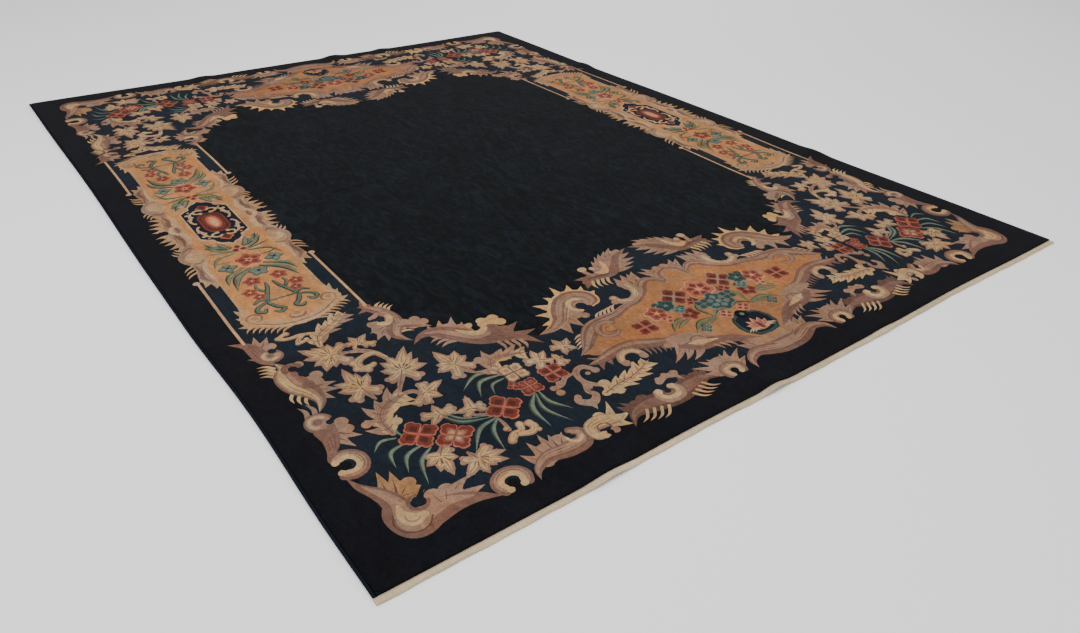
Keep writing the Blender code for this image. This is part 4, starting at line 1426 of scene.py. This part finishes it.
def wool_pile():
    """Clipped wool: the knots' dyes with streaks, worn patches, painted sheen on the field and the
    tufts' relief.
    """
    material, tree, shader = new_material("carved_wool", 0.95, 0.05)
    place = add_node(tree, "ShaderNodeTexCoord").outputs["Object"]
    dye, painted_sheen_mask = (add_node(tree, "ShaderNodeAttribute", {"attribute_name": "dye"})
                    .outputs[socket] for socket in ("Color", "Alpha"))
    rows = remap(tree, noise(tree, place, 1.0, 2.0, (0.7, 16.0, 1.0)), 0.94, 1.06)
    patches = remap(tree, noise(tree, place, 3.2, 3.0), 0.88, 1.12)
    streaks = remap(tree, noise(tree, place, 22.0, 2.0, (1.0, 0.45, 1.0), 1.6), 0.86, 1.16)
    flecks = remap(tree, noise(tree, place, 85.0, 2.0), 0.84, 1.16)
    tufts = remap(tree, noise(tree, place, 330.0, 2.0), 0.80, 1.20)
    shade = product(tree, product(tree, rows, patches), product(tree, streaks, tufts))
    shade = product(tree, shade, flecks)
    # Painted sheen: stretched streaks that lighten and darken the field, as its nap catches the light
    painted_sheen_streaks = remap(tree, noise(tree, place, 13.0, 3.0, (1.6, 0.7, 1.0), 2.2), -0.30, 0.75, 0.40,
                   0.68)

    # Only the field has this painted sheen: lighter and darker streaks where its pile lies another way
    lift = add_node(tree, "ShaderNodeMath", {"operation": "MULTIPLY_ADD"}, _0=painted_sheen_mask, _1=painted_sheen_streaks,
                    _2=1.0).outputs[0]
    shade = product(tree, shade, lift)
    coloured = add_node(tree, "ShaderNodeVectorMath", {"operation": "SCALE"}, vector=dye,
                        scale=shade).outputs[0]
    warm = remap(tree, noise(tree, place, 11.0, 4.0), 0.0, 1.0)
    tint = add_node(tree, "ShaderNodeMix", {"data_type": "VECTOR"}, _0=warm,
                    _4=WARM_TINT, _5=COOL_TINT).outputs[1]
    tinted = add_node(tree, "ShaderNodeVectorMath", {"operation": "MULTIPLY"}, _0=coloured,
                      _1=tint).outputs[0]
    tree.links.new(tinted, shader.inputs["Base Color"])
    fine = noise(tree, place, 300.0, 3.0)
    bump = add_node(tree, "ShaderNodeBump", height=fine, strength=0.6, distance=0.0012)
    tree.links.new(bump.outputs[0], shader.inputs["Normal"])
    shader.inputs["Sheen Weight"].default_value = 0.02
    shader.inputs["Sheen Roughness"].default_value = 0.5
    return material


def plain_yarn(name, dye, along, rows, depth, spread=0.10):
    """Yarn or cotton of one dye, with fine rows across its run."""
    material, tree, shader = new_material(name, 0.9, 0.06)
    place = add_node(tree, "ShaderNodeTexCoord").outputs["Object"]
    fibres = remap(tree, noise(tree, place, 420.0, 2.0, along), 1 - 2 * spread, 1 + spread)
    worn = remap(tree, noise(tree, place, 7.0, 3.0), 1 - spread, 1 + spread)
    shade = product(tree, fibres, worn)
    colour = add_node(tree, "ShaderNodeVectorMath", {"operation": "SCALE"}, scale=shade)
    colour.inputs[0].default_value = dye
    tree.links.new(colour.outputs[0], shader.inputs["Base Color"])
    bump = add_node(tree, "ShaderNodeBump", height=noise(tree, place, rows, 2.0, along),
                    strength=0.7, distance=depth)
    tree.links.new(bump.outputs[0], shader.inputs["Normal"])
    return material


# Pieces from plain lists of places and faces

def new_piece(name, places, faces, material, node, smooth=True, normals=None,
              dyes=None):
    """A finished piece at the origin that stands for its CAD node."""
    mesh = bpy.data.meshes.new(name)
    faces = np.asarray(faces)
    count, corners = faces.shape
    mesh.vertices.add(len(places))
    mesh.vertices.foreach_set("co", np.asarray(places, np.float32).ravel())
    mesh.loops.add(count * corners)
    mesh.loops.foreach_set("vertex_index", faces.ravel().astype(np.int32))
    mesh.polygons.add(count)
    mesh.polygons.foreach_set("loop_start", np.arange(0, count * corners, corners))
    mesh.polygons.foreach_set("use_smooth", np.full(count, smooth))
    if dyes is not None:
        dye = mesh.color_attributes.new("dye", "FLOAT_COLOR", "CORNER")
        dye.data.foreach_set("color", np.asarray(dyes, np.float32).ravel())
    unwrap_flat(mesh, places, faces)
    mesh.update()
    mesh.validate()
    if normals is not None:
        mesh.normals_split_custom_set_from_vertices(normals)
    mesh.materials.append(material)
    piece = bpy.data.objects.new(name, mesh)
    bpy.context.scene.collection.objects.link(piece)
    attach(piece, "root")
    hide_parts(node)
    return piece


def unwrap_flat(mesh, places, faces):
    """A map that spreads the piece's plan over the whole square, for baking."""
    plan = np.asarray(places)[:, :2]
    low, high = plan.min(0), plan.max(0)
    flat = (plan - low) / (high - low)
    layer = mesh.uv_layers.new(name="OFBake")
    layer.data.foreach_set("uv", flat[faces.ravel()].astype(np.float32).ravel())


def vertex_normals(places, triangles):
    """Smooth normals of the whole pile, so that its pieces meet without a seam."""
    a, b, c = (places[triangles[:, k]] for k in range(3))
    cross = np.cross(b - a, c - a)
    normals = np.zeros_like(places)
    for k in range(3):
        np.add.at(normals, triangles[:, k], cross)
    return normals / np.maximum(np.linalg.norm(normals, axis=1), 1e-12)[:, None]


SKIRT_FOOT = 0.0006
SKIRT_CORNER = 0.03
SKIRT_TILT = 0.3


def pile_skirt(places, triangles, rim_height):
    """The pile's own side, from its rim down to its foot: places, faces and normals."""
    sides = sides_of(triangles)
    keys = np.sort(sides, 1)
    keys = keys[:, 0].astype(np.int64) * len(places) + keys[:, 1]
    _, first, seen = np.unique(keys, return_index=True, return_counts=True)
    used, index = np.unique(sides[first[seen == 1]], return_inverse=True)
    a, b = index.reshape(-1, 2).T
    top = places[used]
    size = len(used)
    low = np.column_stack([top[:, :2], np.maximum(top[:, 2] - rim_height, 0) + SKIRT_FOOT])
    faces = np.concatenate([np.column_stack([b, a, a + size]),
                            np.column_stack([b, a + size, b + size])])
    edge = np.array([PILE_HALF_WIDTH, PILE_HALF_LENGTH]) - SKIRT_CORNER
    out = np.where(np.abs(top[:, :2]) > edge, np.sign(top[:, :2]), 0)
    out = np.column_stack([out, np.full(size, SKIRT_TILT)])
    out /= np.linalg.norm(out, axis=1)[:, None]
    return np.concatenate([top, low]), faces, np.concatenate([out, out])


def knot_pile(sizes, dyes):
    """Makes the pile's pieces and returns them."""
    places, triangles, tones, regions = whole_pile(sizes)
    normals = vertex_normals(places, triangles)
    wool = wool_pile()
    pieces = []
    for name in sorted(set(regions)):
        chosen = regions == name
        used, faces = np.unique(triangles[chosen], return_inverse=True)
        faces = faces.reshape(-1, 3)
        points, upward = places[used], normals[used]
        colours = dyes[tones[chosen]]
        if name == "pile_margin":
            low, sides, out = pile_skirt(places, triangles,
                                         sizes.pile_height - sizes.rim_drop)
            faces = np.concatenate([faces, sides + len(points)])
            points, upward = np.concatenate([points, low]), np.concatenate([upward, out])
            plain = np.tile(dyes[TONE_NUMBERS["margin"]], (len(sides), 1))
            colours = np.concatenate([colours, plain])
        print(name, len(faces), "triangles")
        pieces.append(new_piece(name, points, faces, wool, "rug_body",
                                normals=upward, dyes=np.repeat(colours, 3, axis=0)))
    return pieces


def swept(rings):
    """Places and triangles of a strip through rings of equal numbers of points."""
    rings = np.array(rings)
    count, size = rings.shape[:2]
    index = np.arange(count * size).reshape(count, size)
    following = np.roll(index, -1, 1)
    a, b, c, d = index[:-1], following[:-1], following[1:], index[1:]
    faces = np.concatenate([np.stack([a, c, b], -1).reshape(-1, 3),
                            np.stack([a, d, c], -1).reshape(-1, 3)])
    caps = [[index[0, 0], index[0, k], index[0, k + 1]] for k in range(1, size - 1)]
    caps += [[index[-1, 0], index[-1, k + 1], index[-1, k]] for k in range(1, size - 1)]
    return rings.reshape(-1, 3), np.concatenate([faces, np.array(caps)])


BACK_INSET = 0.0006
BACK_HEIGHT = 0.0085
BACK_ACROSS = 69
BACK_ALONG = 91


def weave_back(dye):
    """The rug's knotted back: a closed slab under the pile, on the floor but for its puckers."""
    half_x, half_y = PILE_HALF_WIDTH - BACK_INSET, PILE_HALF_LENGTH - BACK_INSET
    across = np.linspace(-half_x, half_x, BACK_ACROSS)
    along = np.linspace(-half_y, half_y, BACK_ALONG)
    x, y = (grid.ravel() for grid in np.meshgrid(across, along))
    size = len(x)
    low = np.stack([x, y, np.zeros(size)], 1)
    high = np.stack([x, y, np.full(size, BACK_HEIGHT)], 1)
    places = laid(np.concatenate([low, high]))
    index = np.arange(size).reshape(len(along), len(across))
    a, b, c, d = index[:-1, :-1], index[:-1, 1:], index[1:, 1:], index[1:, :-1]
    a, b, c, d = (grid.ravel() for grid in (a, b, c, d))
    faces = [np.stack([a, c, b], 1), np.stack([a, d, c], 1),
             np.stack([a, b, c], 1) + size, np.stack([a, c, d], 1) + size]
    rim = np.concatenate([index[0, :-1], index[:-1, -1], index[-1, :0:-1], index[:0:-1, 0]])
    following = np.roll(rim, -1)
    faces += [np.stack([rim, following, following + size], 1),
              np.stack([rim, following + size, rim + size], 1)]
    material = plain_yarn("rug_back", dye, (1.0, 1.0, 1.0), 260.0, 0.0006)
    return new_piece("rug_back", places, np.concatenate(faces), material,
                     "rug_body", smooth=False)


BAND_STEP = 0.004
BAND_WAVER = 0.0008
RIB_DEPTH = 0.0004
STITCH_SIDES = 5
STITCH_WAVER = 0.0004


def tube(path, radius, sides):
    """A closed tube round a path of points."""
    path = np.asarray(path, float)
    along = np.gradient(path, axis=0)
    along /= np.linalg.norm(along, axis=1)[:, None]
    across = np.cross(along, (1.0, 0.35, 0.0))
    across /= np.linalg.norm(across, axis=1)[:, None]
    up = np.cross(across, along)
    turns = 2 * np.pi * np.arange(sides) / sides
    rings = (path[:, None, :] + radius * (np.cos(turns)[None, :, None] * across[:, None, :]
             + np.sin(turns)[None, :, None] * up[:, None, :]))
    return list(rings)


def joined(parts):
    """Several lists of places and faces as one."""
    places, faces, count = [], [], 0
    for points, triangles in parts:
        places.append(points)
        faces.append(triangles + count)
        count += len(points)
    return np.concatenate(places), np.concatenate(faces)


def sew_end_band(side, sizes, dye):
    """One end's cotton band: a turned strip with a row of slanting whip stitches."""
    inner = HALF_LENGTH - BAND_WIDTH
    wide, thick = BAND_WIDTH, sizes.band_thickness
    profile = [(0, 0), (0.90 * wide, 0), (wide, 0.30 * thick), (wide, 0.65 * thick),
               (0.88 * wide, 0.93 * thick), (0.45 * wide, thick), (0, 0.90 * thick)]
    stations = np.linspace(-HALF_WIDTH, HALF_WIDTH, round(2 * HALF_WIDTH / BAND_STEP) + 1)
    rib = (0, 0, 0.6, 0.9, 1, 1, 0.3)

    def ring(x):
        waver = BAND_WAVER * math.sin(61 * x) + BAND_WAVER * math.sin(23 * x + 1) - BAND_WAVER
        points = [(x, side * (inner + out + (waver if out > 0.5 * wide else 0)),
                   height - RIB_DEPTH * r * (0.5 + 0.5 * math.sin(150 * x)))
                  for (out, height), r in zip(profile, rib)]
        return points if side < 0 else points[::-1]

    parts = [swept([ring(x) for x in stations])]
    for number in range(int(2 * HALF_WIDTH / sizes.stitch_spacing) - 1):
        waver = STITCH_WAVER * math.sin(2.3 * number)
        x = -HALF_WIDTH + (number + 0.8) * sizes.stitch_spacing + waver
        path = [(x + share * sizes.stitch_slant, side * (inner + out), height)
                for share, out, height in (
                    (0, 0.15 * wide, 0.90 * thick), (0.25, 0.40 * wide, 1.02 * thick),
                    (0.55, 0.70 * wide, 1.03 * thick), (0.85, 0.94 * wide, 0.90 * thick),
                    (1, wide, 0.55 * thick))]
        parts.append(swept(tube(path, 0.5 * sizes.stitch_thickness, STITCH_SIDES)))
    places, faces = joined(parts)
    cotton = bpy.data.materials.get("end_cotton") or plain_yarn(
        "end_cotton", dye, (1.0, 4.0, 1.0), 500.0, 0.0004, 0.12)
    end = END_NAMES[side]
    return new_piece(f"cotton_end_{end}", laid(places), faces, cotton,
                     f"end_band_{end}")


CORD_SIDES = 10
RINGS_PER_TURN = 4
CORD_FOOT = 0.0004


def overcast_side_cord(side, sizes, dye):
    """One long side's cord, wrapped in slanting turns of navy yarn."""
    inner = HALF_WIDTH - CORD_WIDTH
    count = round(2 * PILE_HALF_LENGTH / sizes.wrap_spacing) * RINGS_PER_TURN
    stations = np.linspace(-PILE_HALF_LENGTH, PILE_HALF_LENGTH, count + 1)

    def ring(y):
        points = []
        for k in range(CORD_SIDES):
            turn = 2 * math.pi * k / CORD_SIDES
            twist = 2 * math.pi * y / sizes.wrap_spacing + turn
            radius = 1 - sizes.wrap_depth / CORD_WIDTH * (1 - math.cos(twist))
            out = CORD_WIDTH * (0.5 + 0.5 * radius * math.sin(turn))
            height = sizes.cord_height * (0.5 - 0.5 * radius * math.cos(turn))
            points.append((side * (inner + out), y, max(height, CORD_FOOT)))
        return points if side > 0 else points[::-1]

    places, faces = swept([ring(y) for y in stations])
    yarn = bpy.data.materials.get("side_yarn") or plain_yarn(
        "side_yarn", dye, (1.0, 1.0, 1.0), 500.0, 0.0004)
    name = SIDE_NAMES[side]
    return new_piece(f"overcast_edge_{name}", laid(places), faces, yarn,
                     f"side_cord_{name}")


# The stage

CAMERA_PLACE = (-1.783, -2.829, 1.361)
CAMERA_RIGHT = (0.8007, -0.5985, 0.0245)
CAMERA_DOWN = (-0.3047, -0.4421, -0.8436)
FOCAL_PIXELS = 834.0
FRAME_PIXELS = 1080.0
SENSOR_WIDTH = 36.0
FLOOR_SIZE = 60.0
FLOOR_DROP = 0.0004

# Columns: name, place, size, power
LIGHTS = (
    ("top_light", (-1.5, -1.0, 4.5), 5.0, 230.0),
    ("side_light", (4.0, 3.0, 3.5), 4.0, 90.0),
)


def set_camera():
    """The camera at the photograph's angle."""
    right = Vector(CAMERA_RIGHT).normalized()
    up = -Vector(CAMERA_DOWN)
    up = (up - up.dot(right) * right).normalized()
    back = right.cross(up)
    data = bpy.data.cameras.new("photo_camera")
    data.sensor_fit = "HORIZONTAL"
    data.sensor_width = SENSOR_WIDTH
    data.lens = SENSOR_WIDTH * FOCAL_PIXELS / FRAME_PIXELS
    data.clip_end = 200.0
    camera = bpy.data.objects.new("photo_camera", data)
    turn = Matrix((right, up, back)).transposed().to_4x4()
    camera.matrix_world = Matrix.Translation(CAMERA_PLACE) @ turn
    bpy.context.scene.collection.objects.link(camera)
    bpy.context.scene.camera = camera


def set_floor():
    """A plain pale floor, a hair below the rug's underside."""
    bpy.ops.object.select_all(action="DESELECT")
    bpy.ops.mesh.primitive_plane_add(size=FLOOR_SIZE, location=(0, 0, -FLOOR_DROP))
    floor = bpy.context.object
    floor.name = "studio_floor"
    material, _, shader = new_material("studio_floor", 0.9, 0.1)
    shader.inputs["Base Color"].default_value = (0.93, 0.93, 0.93, 1)
    floor.data.materials.append(material)


def set_lights():
    """Large soft lights above the rug, and a pale world."""
    for name, place, size, power in LIGHTS:
        data = bpy.data.lights.new(name, "AREA")
        data.size = size
        data.energy = power
        light = bpy.data.objects.new(name, data)
        light.location = place
        light.rotation_euler = (-Vector(place)).to_track_quat("-Z", "Y").to_euler()
        bpy.context.scene.collection.objects.link(light)
    world = bpy.data.worlds.new("pale_world")
    world.use_nodes = True
    back = world.node_tree.nodes["Background"]
    back.inputs["Color"].default_value = (1, 1, 1, 1)
    back.inputs["Strength"].default_value = 0.75
    bpy.context.scene.world = world


# The add-on

def length(name, description, default):
    """A size in metres."""
    return bpy.props.FloatProperty(name=name, description=description, default=default,
                                   min=0.0, precision=4, unit="LENGTH")


class RugSizes(bpy.types.PropertyGroup):
    """Heights and spacings of the pile, the end bands and the side cords."""
    pile_height: length("Pile height", "Height of the clipped wool over the floor", 0.012)
    carving_depth: length("Carving depth", "Depth of the grooves round the motifs", 0.0014)
    rim_drop: length("Rim drop", "How far the wool is worn down along its rim", 0.0015)
    band_thickness: length("Band thickness", "Thickness of the cotton end bands", 0.0055)
    stitch_spacing: length("Stitch spacing", "Distance between the whip stitches", 0.0052)
    stitch_slant: length("Stitch slant", "How far a whip stitch leans along its band", 0.0036)
    stitch_thickness: length("Stitch thickness", "Thickness of the sewing thread", 0.0016)
    cord_height: length("Cord height", "Height of the overcast side cords", 0.0105)
    wrap_spacing: length("Wrap spacing", "Distance between the turns round a cord", 0.0044)
    wrap_depth: length("Wrap depth", "Depth of the dips between those turns", 0.0006)


def dye_properties():
    """One colour property for each dye."""
    return {name: bpy.props.FloatVectorProperty(
        name=label, description=f"Colour of the {label.lower()} dye", subtype="COLOR", size=3,
        min=0.0, max=1.0, default=linear(code)) for name, (label, code) in DYES.items()}


class RugDyes(bpy.types.PropertyGroup):
    """The dyes of the wool, the cotton and the yarn."""
    __annotations__ = dye_properties()


class RUG_OT_pile(bpy.types.Operator):
    """Knot the pile: the pattern, its carved outlines and its worn rim"""
    bl_idname = "rug.pile"
    bl_label = "Knot the pile"

    def execute(self, context):
        chosen = context.scene.rug_dyes
        # The fourth column is 1 for the field alone, whose wool gets the painted sheen streaks
        dyes = np.array([(*getattr(chosen, name), float(name == "field")) for name in DYES])
        pieces = knot_pile(context.scene.rug_sizes, dyes)
        if not pieces:
            raise RuntimeError("the pile has no pieces")
        return {"FINISHED"}


class RUG_OT_back(bpy.types.Operator):
    """Weave the knotted back that carries the pile"""
    bl_idname = "rug.back"
    bl_label = "Weave the back"

    def execute(self, context):
        weave_back(context.scene.rug_dyes.back)
        return {"FINISHED"}


class RUG_OT_end_bands(bpy.types.Operator):
    """Sew the cotton bands of the two short ends"""
    bl_idname = "rug.end_bands"
    bl_label = "Sew the end bands"

    def execute(self, context):
        for side in END_NAMES:
            sew_end_band(side, context.scene.rug_sizes, context.scene.rug_dyes.cotton)
        return {"FINISHED"}


class RUG_OT_side_cords(bpy.types.Operator):
    """Overcast the cords of the two long sides"""
    bl_idname = "rug.side_cords"
    bl_label = "Overcast the side cords"

    def execute(self, context):
        for side in SIDE_NAMES:
            overcast_side_cord(side, context.scene.rug_sizes, context.scene.rug_dyes.side_yarn)
        return {"FINISHED"}


class RUG_OT_stage(bpy.types.Operator):
    """Set the pale floor, the soft lights and the camera"""
    bl_idname = "rug.stage"
    bl_label = "Set the stage"

    def execute(self, context):
        set_floor()
        set_lights()
        set_camera()
        return {"FINISHED"}


STEPS = (RUG_OT_pile, RUG_OT_back, RUG_OT_end_bands, RUG_OT_side_cords, RUG_OT_stage)


class RUG_PT_panel(bpy.types.Panel):
    """The rug's steps, in the 3D view's sidebar"""
    bl_idname = "RUG_PT_panel"
    bl_label = "Rug"
    bl_space_type = "VIEW_3D"
    bl_region_type = "UI"
    bl_category = "Rug"

    def draw(self, context):
        for step in STEPS:
            self.layout.operator(step.bl_idname)
        for group in (context.scene.rug_sizes, context.scene.rug_dyes):
            for name in group.__annotations__:
                self.layout.prop(group, name)


CLASSES = (RugSizes, RugDyes, *STEPS, RUG_PT_panel)


def register():
    for item in CLASSES:
        bpy.utils.register_class(item)
    bpy.types.Scene.rug_sizes = bpy.props.PointerProperty(type=RugSizes)
    bpy.types.Scene.rug_dyes = bpy.props.PointerProperty(type=RugDyes)


def unregister():
    del bpy.types.Scene.rug_dyes
    del bpy.types.Scene.rug_sizes
    for item in reversed(CLASSES):
        bpy.utils.unregister_class(item)


def main():
    register()
    for step in STEPS:
        group, name = step.bl_idname.split(".")
        getattr(getattr(bpy.ops, group), name)()


if __name__ == "__main__":
    main()
